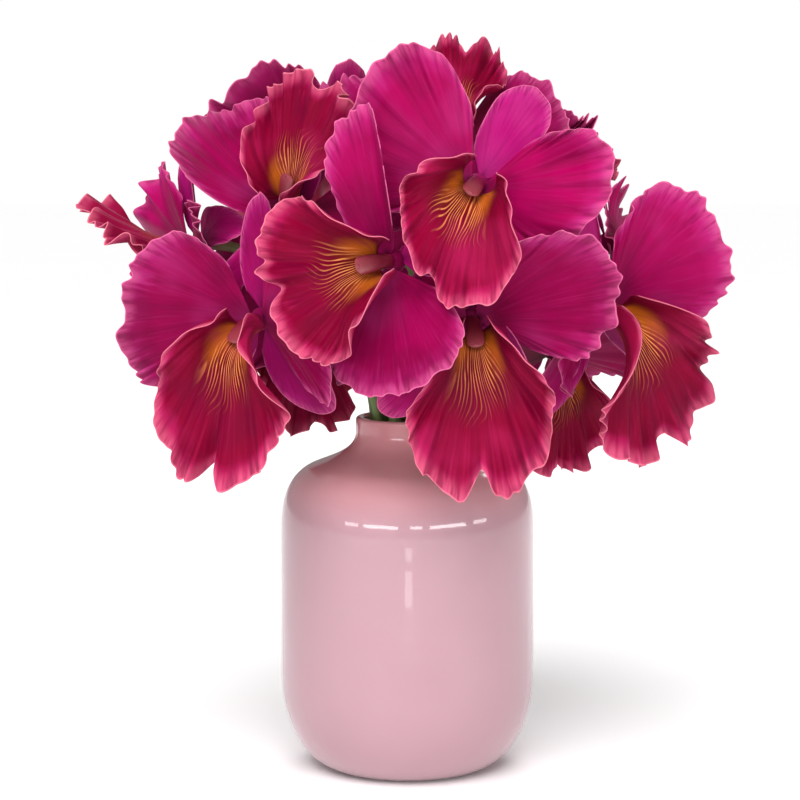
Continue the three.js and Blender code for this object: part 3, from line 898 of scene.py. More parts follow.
@dataclass(frozen=True)
class TissueFinish:
    """What sepals, petals and lips share: streaks along the veins, soft sheen, painted shade and
    sheen in patches and on pleats, and a pale rim of painted highlight.
    """

    name: str
    # Painted highlight along the margin.
    rim: Colour
    back: Colour
    # Dark crimson: painted shade in the cloud patches and on the pleats, and the darker tone of the
    # broad streaks and of some blades.
    shade: Colour = (0.09, 0.0008, 0.018)
    # Painted velvet sheen in the cloud patches and on the pleats, and the paler colour of the fine
    # streaks.
    painted_sheen_and_pale_streak: Colour = (0.44, 0.030, 0.190)
    sheen_tint: Colour = (0.9, 0.2, 0.6)
    sheen: float = 0.035
    shift: float = 17.0
    broad: Grain = Grain(16.0, 1.6, 3.0)
    fine: Grain = Grain(80.0, 2.5, 2.0)
    pleats: Grain = Grain(38.0, 4.0, 2.0)
    uneven: Grain = Grain(9.0, 0.0, 1.0)
    clouds: Cloud = Cloud(24.0, 2.0)
    pleats_from: Step = Step(0.35, 0.65, 0.88, 0.62)
    # Steps of the cloud noise for soft patches of painted shade and painted sheen.
    cloud_painted_shade: Step = Step(0.50, 0.30, 0.0, 0.40)
    cloud_painted_sheen: Step = Step(0.48, 0.70, 0.0, 0.45)
    broad_dark: Step = Step(0.42, 0.72, 0.0, 0.22)
    fine_light: Step = Step(0.48, 0.75, 0.0, 0.14)
    # Steps for the painted shade and painted light on the pleats near the margin.
    pleat_painted_shade: Step = Step(0.48, 0.68, 0.0, 0.55)
    pleat_painted_light: Step = Step(0.50, 0.34, 0.0, 0.50)
    back_share: Step = Step(0.6, 0.4, 0.0, 0.4)
    # Reach of the painted rim highlight, where the pleats break it, and its thin line on the margin
    # itself.
    rim_painted_highlight: Step = Step(0.88, 1.0, 0.0, 0.36)
    rim_highlight_breaks: Step = Step(0.64, 0.40, 0.35, 1.0)
    rim_line: Step = Step(0.988, 1.0, 0.0, 0.75)
    roughness: Step = Step(0.3, 0.7, 0.46, 0.60)
    broad_rise: float = 0.3
    fine_rise: float = 0.15
    relief: Relief = (0.45, 0.0012)

    def body(self, graph: NodeGraph, r: Socket, t: Socket, tone: Socket) -> Socket:
        """The face's colour before streaks, back and rim.

        Args:
            graph: the material's nodes.
            r: share of the way from root to margin.
            t: turn round the margin.
            tone: the blade's own shade.

        Returns:
            The colour.
        """
        raise NotImplementedError

    def build(self) -> bpy.types.Material:
        """Makes the material.

        Returns:
            The material.
        """
        graph = NodeGraph(self.name)
        r, t, tone, side = graph.leaf()
        shift = graph.times(tone, self.shift)
        broad, fine, pleat, uneven = [
            graph.streaks(t, r, shift, grain)
            for grain in (self.broad, self.fine, self.pleats, self.uneven)
        ]
        cloud = graph.noise(graph.place(), self.clouds)
        near = graph.fade(r, Step(graph.fade(uneven, self.pleats_from), 1.0))
        colour = self.body(graph, r, t, tone)
        # Soft patches of painted shade and painted velvet sheen from a cloud noise.
        colour = graph.tint(colour, self.shade, cloud, self.cloud_painted_shade)
        colour = graph.tint(colour, self.painted_sheen_and_pale_streak, cloud, self.cloud_painted_sheen)
        # The veins' own darker and paler streaks.
        colour = graph.tint(colour, self.shade, broad, self.broad_dark)
        colour = graph.tint(colour, self.painted_sheen_and_pale_streak, fine, self.fine_light)
        # Painted shade and painted light that alternate on the pleats near the margin.
        dark = graph.times(near, graph.fade(pleat, self.pleat_painted_shade))
        pale = graph.times(near, graph.fade(pleat, self.pleat_painted_light))
        colour = graph.mix(pale, graph.mix(dark, colour, self.shade), self.painted_sheen_and_pale_streak)
        colour = graph.tint(colour, self.back, side, self.back_share)
        # A painted highlight along the margin, broken by the pleats, and a thin painted line on the
        # margin itself.
        band = graph.times(graph.fade(r, self.rim_painted_highlight), graph.fade(pleat, self.rim_highlight_breaks))
        colour = graph.mix(band, colour, self.rim)
        colour = graph.tint(colour, self.rim, r, self.rim_line)
        graph.feed("Base Color", colour)
        graph.feed("Roughness", graph.fade(cloud, self.roughness))
        graph.set(
            Sheen_Weight=self.sheen, Sheen_Roughness=0.45, Sheen_Tint=(*self.sheen_tint, 1.0),
            Specular_IOR_Level=0.05,
        )
        ribs = graph.times(broad, self.broad_rise)
        veins = graph.math("ADD", ribs, graph.times(fine, self.fine_rise))
        graph.bump(graph.math("SUBTRACT", veins, graph.times(near, pleat)), self.relief)
        return graph.material


@dataclass(frozen=True)
class PetalFinish(TissueFinish):
    """Magenta velvet of sepals and petals, darker at the root and more purple in some."""

    name: str = "petal_velvet"
    # Painted highlight along the margin.
    rim: Colour = (0.68, 0.14, 0.30)
    back: Colour = (0.40, 0.016, 0.13)
    deep: Colour = (0.10, 0.0010, 0.022)
    main: Colour = (0.355, 0.001, 0.080)
    light: Colour = (0.49, 0.014, 0.175)
    purple: Colour = (0.36, 0.008, 0.180)
    tone_dark: Step = Step(0.45, 0.0, 0.0, 0.36)
    tone_purple: Step = Step(0.3, 1.0, 0.0, 0.6)

    def body(self, graph: NodeGraph, r: Socket, t: Socket, tone: Socket) -> Socket:
        """Deep at the root, light at the margin.

        Args:
            graph: the material's nodes.
            r: share of the way from root to margin.
            t: turn round the margin.
            tone: the blade's own shade.

        Returns:
            The colour.
        """
        stops = ((0.0, self.deep), (0.32, self.main), (0.78, self.main), (0.98, self.light))
        colour = graph.tint(graph.ramp(r, stops), self.shade, tone, self.tone_dark)
        return graph.tint(colour, self.purple, tone, self.tone_purple)


@dataclass(frozen=True)
class LipFinish(TissueFinish):
    """Crimson of the lip, with an orange throat and gold veins that fan out of it."""

    name: str = "lip_velvet"
    # Painted highlight along the margin.
    rim: Colour = (0.76, 0.20, 0.28)
    back: Colour = (0.32, 0.008, 0.055)
    # Painted velvet sheen in the cloud patches and on the pleats, and the paler colour of the fine
    # streaks.
    painted_sheen_and_pale_streak: Colour = (0.42, 0.014, 0.095)
    throat: Colour = (0.50, 0.12, 0.006)
    ember: Colour = (0.22, 0.02, 0.003)
    dark: Colour = (0.10, 0.0008, 0.005)
    crimson: Colour = (0.190, 0.0005, 0.021)
    light: Colour = (0.42, 0.010, 0.095)
    vein: Colour = (0.84, 0.29, 0.085)
    stray: Grain = Grain(5.0, 4.0, 3.0)
    drift: Grain = Grain(4.0, 3.0, 0.5)
    wear: Grain = Grain(26.0, 5.0, 1.0)
    stray_reach: float = 0.22
    glow_from: Step = Step(0.10, 0.34)
    glow_to: Step = Step(0.56, 0.78, 1.0, 0.0)
    glow_reach: Step = Step(0.20, 0.46, 0.85, 0.0)
    vein_count: float = 28.0
    vein_drift: float = 8.0
    vein_width: float = 0.09
    vein_taper: float = 0.30
    taper_from: float = 0.6
    vein_edge: Step = Step(0.5, 1.3, 1.0, 0.0)
    vein_wear: Step = Step(0.30, 0.55, 0.25, 1.0)
    vein_spread: Step = Step(0.16, 0.40, 1.0, 0.0)
    vein_from: Step = Step(0.06, 0.16)
    vein_to: Step = Step(0.34, 0.62, 1.0, 0.0)
    vein_share: float = 0.88

    def body(self, graph: NodeGraph, r: Socket, t: Socket, tone: Socket) -> Socket:
        """Throat, crimson and veins.

        Args:
            graph: the material's nodes.
            r: share of the way from root to margin.
            t: turn round the margin.
            tone: the blade's own shade.

        Returns:
            The colour.
        """
        stray, drift, wear = [
            graph.streaks(t, r, tone, grain) for grain in (self.stray, self.drift, self.wear)
        ]
        off_even = graph.times(graph.math("SUBTRACT", stray, 0.5), self.stray_reach)
        reach = graph.math("ADD", r, off_even)
        colour = graph.ramp(reach, (
            (0.0, self.ember), (0.12, self.ember), (0.34, self.dark),
            (0.6, self.crimson), (0.86, self.crimson), (0.98, self.light),
        ))
        off_middle = graph.math("ABSOLUTE", t)
        flank = graph.times(
            graph.fade(off_middle, self.glow_from), graph.fade(off_middle, self.glow_to)
        )
        glow = graph.times(flank, graph.fade(reach, self.glow_reach))
        colour = graph.mix(glow, colour, self.throat)
        lines = graph.math(
            "ADD", graph.times(t, self.vein_count), graph.times(drift, self.vein_drift)
        )
        across = graph.math("ABSOLUTE", graph.math("SUBTRACT", graph.math("FRACT", lines), 0.5))
        taper = graph.times(graph.math("SUBTRACT", self.taper_from, r), self.vein_taper)
        off_line = graph.math("DIVIDE", across, graph.math("ADD", self.vein_width, taper))
        line = graph.times(graph.fade(wear, self.vein_wear), graph.fade(off_line, self.vein_edge))
        span = graph.times(graph.fade(reach, self.vein_from), graph.fade(reach, self.vein_to))
        front = graph.times(graph.fade(off_middle, self.vein_spread), self.vein_share)
        return graph.mix(graph.times(graph.times(line, span), front), colour, self.vein)


@dataclass(frozen=True)
class ColumnFinish:
    """Waxy dusky pink of the column, paler at its tip."""

    base: Colour = (0.15, 0.004, 0.020)
    middle: Colour = (0.19, 0.008, 0.028)
    tip: Colour = (0.27, 0.040, 0.055)
    blush: Colour = (0.26, 0.03, 0.05)
    clouds: Cloud = Cloud(260.0, 3.0)
    blush_share: Step = Step(0.4, 0.7, 0.0, 0.3)
    roughness: Step = Step(0.3, 0.7, 0.30, 0.44)
    relief: Relief = (0.2, 0.0003)

    def build(self) -> bpy.types.Material:
        """Makes the material.

        Returns:
            The material.
        """
        graph = NodeGraph("column_wax")
        cloud = graph.noise(graph.place(), self.clouds)
        stops = ((0.0, self.base), (0.5, self.middle), (1.0, self.tip))
        colour = graph.ramp(graph.leaf()[0], stops)
        graph.feed("Base Color", graph.tint(colour, self.blush, cloud, self.blush_share))
        graph.feed("Roughness", graph.fade(cloud, self.roughness))
        graph.set(
            Subsurface_Weight=0.15, Subsurface_Radius=(1.0, 0.4, 0.3), Subsurface_Scale=0.002
        )
        graph.bump(cloud, self.relief)
        return graph.material


@dataclass(frozen=True)
class StemFinish:
    """Green of a bare stem, flushed and paler at the bloom's end."""

    green: Colour = (0.115, 0.19, 0.045)
    pale: Colour = (0.24, 0.30, 0.11)
    flush: Colour = (0.22, 0.07, 0.09)
    grain: Grain = Grain(14.0, 22.0, 4.0)
    pale_share: Step = Step(0.4, 0.7, 0.0, 0.45)
    roughness: Step = Step(0.3, 0.7, 0.38, 0.55)
    relief: Relief = (0.3, 0.0004)

    def build(self) -> bpy.types.Material:
        """Makes the material.

        Returns:
            The material.
        """
        graph = NodeGraph("stem_green")
        r, t, _tone, _side = graph.leaf()
        grain = graph.streaks(t, r, 0.0, self.grain)
        stops = ((0.0, self.flush), (0.05, self.pale), (0.3, self.green), (1.0, self.pale))
        colour = graph.ramp(r, stops)
        graph.feed("Base Color", graph.tint(colour, self.pale, grain, self.pale_share))
        graph.feed("Roughness", graph.fade(grain, self.roughness))
        graph.bump(grain, self.relief)
        return graph.material


@dataclass(frozen=True)
class GlassFinish:
    """Opaque pink glass under a clear outer layer, with painted light on the shoulder and neck."""

    pink: Colour = (0.425, 0.250, 0.290)
    deep: Colour = (0.386, 0.221, 0.256)
    # neck and neck_height: a brighter, warmer pink painted by height on the shoulder and neck, as
    # painted light where the bouquet shades them.
    neck: Colour = (0.66, 0.290, 0.315)
    neck_height: Step = Step(0.125, 0.165)
    clouds: Cloud = Cloud(14.0, 2.0)
    deep_share: Step = Step(0.35, 0.7, 0.0, 0.5)
    roughness: Step = Step(0.3, 0.7, 0.16, 0.24)
    swell: Cloud = Cloud(9.0, 1.0)
    relief: Relief = (0.12, 0.004)

    def build(self) -> bpy.types.Material:
        """Makes the material.

        Returns:
            The material.
        """
        graph = NodeGraph("pink_glass")
        place = graph.place()
        cloud = graph.noise(place, self.clouds)
        height = graph.split(place)[2]
        body = graph.tint(self.pink, self.deep, cloud, self.deep_share)
        # Painted light: the brighter pink laid on the shoulder and neck by height.
        graph.feed("Base Color", graph.tint(body, self.neck, height, self.neck_height))
        graph.feed("Roughness", graph.fade(cloud, self.roughness))
        graph.set(
            Coat_Weight=0.75, Coat_Roughness=0.01, Coat_IOR=1.45, Specular_IOR_Level=0.15,
            Subsurface_Weight=0.25, Subsurface_Radius=(1.0, 0.6, 0.6), Subsurface_Scale=0.006,
        )
        graph.bump(graph.noise(place, self.swell), self.relief)
        return graph.material


@dataclass(frozen=True)
class WaterFinish:
    """Clear water, which the opaque glass hides."""

    clear: Colour = (0.86, 0.92, 0.92)
    cloudy: Colour = (0.80, 0.88, 0.86)
    clouds: Cloud = Cloud(30.0, 1.0)

    def build(self) -> bpy.types.Material:
        """Makes the material.

        Returns:
            The material.
        """
        graph = NodeGraph("vase_water")
        cloud = graph.noise(graph.place(), self.clouds)
        graph.feed("Base Color", graph.mix(cloud, self.clear, self.cloudy))
        graph.set(Roughness=0.02, Transmission_Weight=1.0, IOR=1.33)
        return graph.material


@dataclass(frozen=True)
class FloorFinish:
    """Plain pale floor."""

    white: Colour = (0.985, 0.985, 0.985)
    cool: Colour = (0.975, 0.975, 0.98)
    clouds: Cloud = Cloud(3.0, 2.0)

    def build(self) -> bpy.types.Material:
        """Makes the material.

        Returns:
            The material.
        """
        graph = NodeGraph("studio_floor")
        cloud = graph.noise(graph.place(), self.clouds)
        graph.feed("Base Color", graph.mix(cloud, self.white, self.cool))
        graph.set(Roughness=0.7)
        return graph.material


@dataclass
class Finishes:
    """All materials of the bouquet."""

    tepals: bpy.types.Material = field(default_factory=PetalFinish().build)
    lip: bpy.types.Material = field(default_factory=LipFinish().build)
    column: bpy.types.Material = field(default_factory=ColumnFinish().build)
    stem: bpy.types.Material = field(default_factory=StemFinish().build)
    glass: bpy.types.Material = field(default_factory=GlassFinish().build)
    water: bpy.types.Material = field(default_factory=WaterFinish().build)


def declare(piece: bpy.types.Object, node: str) -> None:
    """Says which body a piece rides on and which node it stands for, and hides that node.

    Args:
        piece: the piece.
        node: the node that it replaces.
    """
    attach(piece, "root")
    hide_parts(node)
    LOG.info("%s stands for %s", piece.name, node)


def loft(rings: np.ndarray, along: np.ndarray, tone: float = MIDDLE_TONE) -> MeshData:
    """A closed body from rings of points that go round the way in which they advance.

    Args:
        rings: stations, sides and coordinates.
        along: each station's share of the way, for shading.
        tone: the body's shade.

    Returns:
        The mesh.
    """
    stations, sides = rings.shape[:2]
    first, last = stations * sides, stations * sides + 1
    net = np.arange(first).reshape(stations, sides)
    turned = np.roll(net, -1, axis=1)
    wall = np.stack([net[:-1], turned[:-1], turned[1:], net[1:]], axis=-1).reshape(-1, 4)
    middles = [rings[0].mean(axis=0)[None], rings[-1].mean(axis=0)[None]]
    points = np.concatenate([rings.reshape(-1, 3), *middles])
    start = np.stack([np.full(sides, first), turned[0], net[0]], axis=-1)
    end = np.stack([np.full(sides, last), net[-1], turned[-1]], axis=-1)
    turn = np.linspace(-1.0, 1.0, sides, endpoint=False)
    leaf = np.stack(
        [np.repeat(along, sides), np.tile(turn, stations), np.full(first, tone)], axis=-1
    )
    caps = np.array([[along[0], 0.0, tone], [along[-1], 0.0, tone]])
    return MeshData(
        points, [wall, start, end], np.concatenate([leaf, caps]), np.ones(len(points))
    )


@dataclass(frozen=True)
class Knob:
    """The knob in which sepals and petals are rooted, in millimetres along the bloom's front."""

    back: float = -7.0
    front: float = 3.6
    radius: float = 5.6
    end_share: float = 0.55
    swell: float = 0.45
    swell_run: tuple[float, float] = (1.1, 0.05)
    swell_power: float = 0.6
    stations: int = 12
    sides: int = 24
    shade_place: float = 0.08
    tone: float = 0.4

    def ovals(self) -> list[Station]:
        """Its rings.

        Returns:
            Place along the front, rise, half width and half height of each.
        """
        rows: list[Station] = []
        for s in np.linspace(0.0, 1.0, self.stations):
            turn = math.pi * min(s * self.swell_run[0] + self.swell_run[1], 1.0)
            share = self.end_share + self.swell * math.sin(turn) ** self.swell_power
            half = self.radius * share
            rows.append((self.back + (self.front - self.back) * s, 0.0, half, half))
        return rows


@dataclass(frozen=True)
class Column:
    """The club in a lip's throat and its cap, in millimetres from its root."""

    length: float = 20.0
    tip: float = 1.4
    straight_rings: int = 20
    tip_rings: int = 5
    close_from: float = 17.8
    close_run: float = 2.3
    close_least: float = 0.05
    arch: tuple[float, float, float] = (2.0, 0.10, 0.0225)
    keys: tuple[float, ...] = (0.0, 7.0, 14.0, 20.0)
    half_widths: tuple[float, ...] = (3.0, 3.6, 4.3, 4.3)
    half_heights: tuple[float, ...] = (2.1, 1.7, 1.3, 1.0)
    sides: int = 28
    cap_middle: float = 18.2
    cap_reach: float = 2.0
    cap_rise: float = -4.6
    cap_half_width: float = 2.4
    cap_half_height: float = 1.4
    cap_turn: float = 0.08
    cap_rings: int = 9
    cap_sides: int = 20

    def places(self) -> np.ndarray:
        """Where the club's rings lie.

        Returns:
            How far each lies from the root, closer together at the tip.
        """
        tip_turn = np.linspace(0.0, math.pi / 2, self.tip_rings + 1)
        straight = np.linspace(0.0, self.length - self.tip, self.straight_rings)
        return np.concatenate([straight, self.length - self.tip * np.cos(tip_turn)[1:]])

    def ovals(self, root: float) -> Iterable[Station]:
        """The rings of the club: place along the front, rise, half width and half height.

        Args:
            root: the root's place along the bloom's front.

        Returns:
            The rings' sizes.
        """
        places = self.places()
        past = np.clip((places - self.close_from) / self.close_run, 0.0, 1.0)
        close = np.sqrt(np.clip(1.0 - past ** 2, self.close_least, 1.0))
        rise = self.arch[0] + self.arch[1] * places - self.arch[2] * places ** 2
        half_width = np.interp(places, self.keys, self.half_widths) * close
        half_height = np.interp(places, self.keys, self.half_heights) * close
        return zip(root + places, rise, half_width, half_height)

    def cap_ovals(self, root: float) -> list[Station]:
        """The rings of the cap, with sizes as the club's.

        Args:
            root: the root's place along the bloom's front.

        Returns:
            The rings' sizes.
        """
        return [
            (
                root + self.cap_middle - self.cap_reach * math.cos(a), self.cap_rise,
                self.cap_half_width * math.sin(a), self.cap_half_height * math.sin(a),
            )
            for a in np.linspace(self.cap_turn, math.pi - self.cap_turn, self.cap_rings)
        ]


@dataclass
class Bloom:
    """One bloom: its axes, its blades, its column and its place on a stem.

    The number counts from 1 and also seeds the draws.
    """

    number: int
    plan: BloomPlan
    knob: Knob = Knob()
    column: Column = Column()
    sepal_angles: tuple[float, float, float] = (0.0, 138.0, -138.0)
    sepal_place: tuple[float, float] = (3.0, -3.0)
    petal_place: tuple[float, float] = (2.5, 1.5)
    lip_drop: float = 4.0
    lip_lift: float = 4.5
    rest_gap: float = 0.3
    sepal_tones: tuple[float, float] = (0.55, 1.0)
    petal_tones: tuple[float, float] = (0.0, 0.5)
    lip_tones: tuple[float, float] = (0.0, 1.0)

    def __post_init__(self) -> None:
        """Lays out the bloom's axes and blades."""
        self.middle = np.array(self.plan.at, dtype=float)
        self.front = unit(np.array(self.plan.face, dtype=float))
        level = unit(np.cross([0.0, 0.0, 1.0], self.front))
        steep = np.cross(self.front, level)
        turn = math.radians(self.plan.roll)
        self.right = level * math.cos(turn) - steep * math.sin(turn)
        self.up = level * math.sin(turn) + steep * math.cos(turn)
        self.sepals = [self.sepal(i) for i in range(3)]
        self.petals = [self.petal(i) for i in range(2)]
        self.lip = self.make_lip()

    @property
    def node(self) -> str:
        """The start of the bloom's node names."""
        return f"bloom_{self.number:02d}"

    @property
    def blades(self) -> list[Blade]:
        """All blades in the order in which neighbours are parted."""
        return [*self.sepals, *self.petals, self.lip]

    def seed(self, place: int) -> int:
        """The seed of one of the bloom's blades."""
        return self.number * SEEDS_EACH + place

    def between(self, low: float, high: float, index: int) -> float:
        """One of the bloom's draws, between two values."""
        return low + (high - low) * draw(self.number, index)

    def tepal(self, shape: BladeShape, angle: float, place: tuple[float, float]) -> Blade:
        """Places a sepal or petal.

        Args:
            shape: its form.
            angle: clockwise from the bloom's up.
            place: how far its root lies from the middle and in front of it.

        Returns:
            The blade.
        """
        turn = math.radians(angle)
        along = self.up * math.cos(turn) + self.right * math.sin(turn)
        origin = self.middle + along * place[0] + self.front * place[1]
        basis = np.stack([np.cross(along, self.front), along, self.front], axis=1)
        return Blade(self.plan.name, shape, origin, basis)

    def sepal(self, i: int) -> Blade:
        """Makes a sepal.

        Args:
            i: which one: top, right or left.

        Returns:
            The sepal in its place.
        """
        size = self.plan.size
        own = dict(self.plan.sepals[i])
        angle = self.sepal_angles[i] + own.pop("turn", 0.0)
        shape = BladeShape(
            kind=Kind.SEPAL, length=72 * size, width=30 * size, seed=self.seed(i), stiff=1,
            widest=0.8, point=0.18, waves=(Wave(0.8, 5, 2), Wave(0.35, 13, 4)),
            lean=(0, self.between(-26, -12, Draw.SEPAL_LEAN + i)), cup=(34, 34),
            twist=self.between(-7, 7, Draw.SEPAL_TWIST + i),
        )
        return self.tepal(replace(shape, **own), angle, self.sepal_place)

    def petal(self, i: int) -> Blade:
        """Makes a petal.

        Args:
            i: which one: right or left.

        Returns:
            The petal in its place.
        """
        size = self.plan.size
        own = dict(self.plan.petals[i])
        angle = (self.plan.spread if i == 0 else -self.plan.spread) + own.pop("turn", 0.0)
        cup = self.between(-10, 14, Draw.PETAL_CUP + i)
        shape = BladeShape(
            kind=Kind.PETAL, length=74 * size, width=84 * size,
            seed=self.seed(FIRST_PETAL_SEED + i), stiff=2, scallop=0.013, cup=(cup, cup),
            bend=(0, 0.8), waves=(Wave(3.0, 5, 2.4), Wave(2.6, 13, 3.4), Wave(1.3, 27, 4.4)),
            lean=(
                self.between(4, 16, Draw.PETAL_LEAN_ROOT + i),
                self.between(-4, 12, Draw.PETAL_LEAN_TIP + i),
            ),
            twist=self.between(-11, 11, Draw.PETAL_TWIST + i),
        )
        return self.tepal(replace(shape, **own), angle, self.petal_place)

    def make_lip(self) -> Blade:
        """Makes the lip, which rolls round the column and spreads in front.

        Returns:
            The lip in its place.
        """
        shape = BladeShape(
            kind=Kind.LIP, length=84, width=78, seed=self.seed(LIP_SEED), stiff=8,
            widest=0.88, lean=(0, -74), bend=(0.0, 0.4), cup=(140, 6), cup_span=(0.12, 0.52),
            tube=True, scallop=0.022, notch=0.14,
            waves=(Wave(3, 7.5, 2.4), Wave(2.6, 15, 3.2), Wave(1.3, 31, 4.4)),
        )
        origin = self.middle - self.up * self.lip_drop + self.front * self.lip_lift
        basis = np.stack([-self.right, self.front, self.up], axis=1)
        return Blade(self.plan.name, replace(shape, **self.plan.lip), origin, basis)

    def rings(self, ovals: Iterable[Station], sides: int) -> np.ndarray:
        """Oval rings along the bloom's front.

        Args:
            ovals: place along the front, rise, half width and half height of each.
            sides: points in a ring.

        Returns:
            Rings of points.
        """
        turn = ring_turns(sides, 0.5)
        rows = [
            self.middle + self.front * z
            + np.outer(half_width * np.cos(turn), self.right)
            + np.outer(rise + half_height * np.sin(turn), self.up)
            for z, rise, half_width, half_height in ovals
        ]
        return np.stack(rows)

    def knob_mesh(self) -> MeshData:
        """The knob in which sepals and petals are rooted."""
        rings = self.rings(self.knob.ovals(), self.knob.sides)
        return loft(rings, np.full(len(rings), self.knob.shade_place), self.knob.tone)

    def column_mesh(self) -> MeshData:
        """The column: an arched club with a small cap below its tip.

        Returns:
            The mesh.
        """
        root = self.knob.front + self.rest_gap
        places = self.column.places()
        club = self.rings(self.column.ovals(root), self.column.sides)
        cap = self.rings(self.column.cap_ovals(root), self.column.cap_sides)
        return MeshData.joined([loft(club, places / places[-1]), loft(cap, np.ones(len(cap)))])

    def dress(self, finishes: Finishes) -> None:
        """Makes the bloom's pieces.

        Args:
            finishes: the materials.
        """
        tepals = [self.knob_mesh()]
        for i, blade in enumerate(self.sepals):
            tepals.append(blade.shell(self.between(*self.sepal_tones, Draw.SEPAL_TONE + i)))
        for i, blade in enumerate(self.petals):
            tepals.append(blade.shell(self.between(*self.petal_tones, Draw.PETAL_TONE + i)))
        lip = self.lip.shell(self.between(*self.lip_tones, Draw.LIP_TONE))
        for mesh, piece, slot, finish in (
            (MeshData.joined(tepals), "petals_fine", "tepals", finishes.tepals),
            (lip, "lip_fine", "lip", finishes.lip),
            (self.column_mesh(), "column_fine", "column", finishes.column),
        ):
            declare(mesh.to_object(f"{self.node}_{piece}", finish), f"{self.node}_{slot}")


@dataclass
class Stem:
    """A bare stem from a bloom's back through the neck to the vase's floor.

    The pulls are how far its curves run straight at their ends, in millimetres or as a share of
    the way from bloom to neck.
    """

    bloom: Bloom
    ring_radius: float
    turn: float
    radius: float = 2.4
    neck_height: float = 171.0
    foot_height: float = 8.0
    foot_spread: float = 2.2
    foot_turn: float = 0.35
    head_pull: float = 34.0
    head_pull_share: float = 0.4
    neck_pull_share: float = 0.45
    neck_pull: float = 40.0
    foot_pull: float = 60.0
    rib_count: float = 6.0
    rib_height: float = 0.10
    rib_run: float = 26.0
    rib_thinning: float = 0.4
    net_steps: int = 12
    upper_steps: int = 45
    lower_steps: int = 19
    sides: int = 18

    def __post_init__(self) -> None:
        """Works out the two curves of the route."""
        bloom = self.bloom
        head = bloom.middle + bloom.front * (bloom.knob.back - bloom.rest_gap)
        neck = self.ring_point(1.0, self.turn, self.neck_height)
        foot = self.ring_point(self.foot_spread, self.turn + self.foot_turn, self.foot_height)
        reach = float(np.linalg.norm(head - neck))
        lift = np.array([0.0, 0.0, 1.0])
        behind = head - bloom.front * min(self.head_pull, self.head_pull_share * reach)
        self.upper = (head, behind, neck + lift * self.neck_pull_share * reach, neck)
        self.lower = (neck, neck - lift * self.neck_pull, foot + lift * self.foot_pull, foot)

    def ring_point(self, share: float, angle: float, height: float) -> np.ndarray:
        """A point of the stem's ring, spread by a share, at an angle and a height."""
        reach = self.ring_radius * share
        return np.array([reach * math.cos(angle), reach * math.sin(angle), height])

    @staticmethod
    def bezier(curve: Sequence[np.ndarray], steps: int) -> np.ndarray:
        """Points of a cubic curve.

        Args:
            curve: its four control points.
            steps: how many stretches it is cut into.

        Returns:
            The points, from its start to its end.
        """
        a, b, c, d = curve
        t = np.linspace(0.0, 1.0, steps + 1)[:, None]
        return a * (1 - t) ** 3 + 3 * b * t * (1 - t) ** 2 + 3 * c * t * t * (1 - t) + d * t ** 3

    def samples(self) -> np.ndarray:
        """Points of the upper curve, which blades keep clear of."""
        return self.bezier(self.upper, self.net_steps)

    def mesh(self) -> MeshData:
        """The stem's tube, ribbed below the bloom.

        Returns:
            The mesh.
        """
        upper = self.bezier(self.upper, self.upper_steps)
        line = np.concatenate([upper, self.bezier(self.lower, self.lower_steps)[1:]])
        tangent = unit(np.gradient(line, axis=0))
        steps = np.linalg.norm(np.diff(line, axis=0), axis=1)
        length = np.concatenate([[0.0], np.cumsum(steps)])
        side = unit(np.cross(tangent[0], self.bloom.up))
        turn = ring_turns(self.sides)
        rows = []
        for point, ahead, run in zip(line, tangent, length):
            side = unit(side - ahead * (side @ ahead))
            other = np.cross(ahead, side)
            rib = self.rib_height * math.exp(-((run / self.rib_run) ** 2))
            ribbed = 1.0 - rib * self.rib_thinning + rib * np.cos(self.rib_count * turn)
            size = self.radius * ribbed
            ring = np.outer(size * np.cos(turn), side)
            rows.append(point + ring + np.outer(size * np.sin(turn), other))
        return loft(np.stack(rows), length / length[-1])


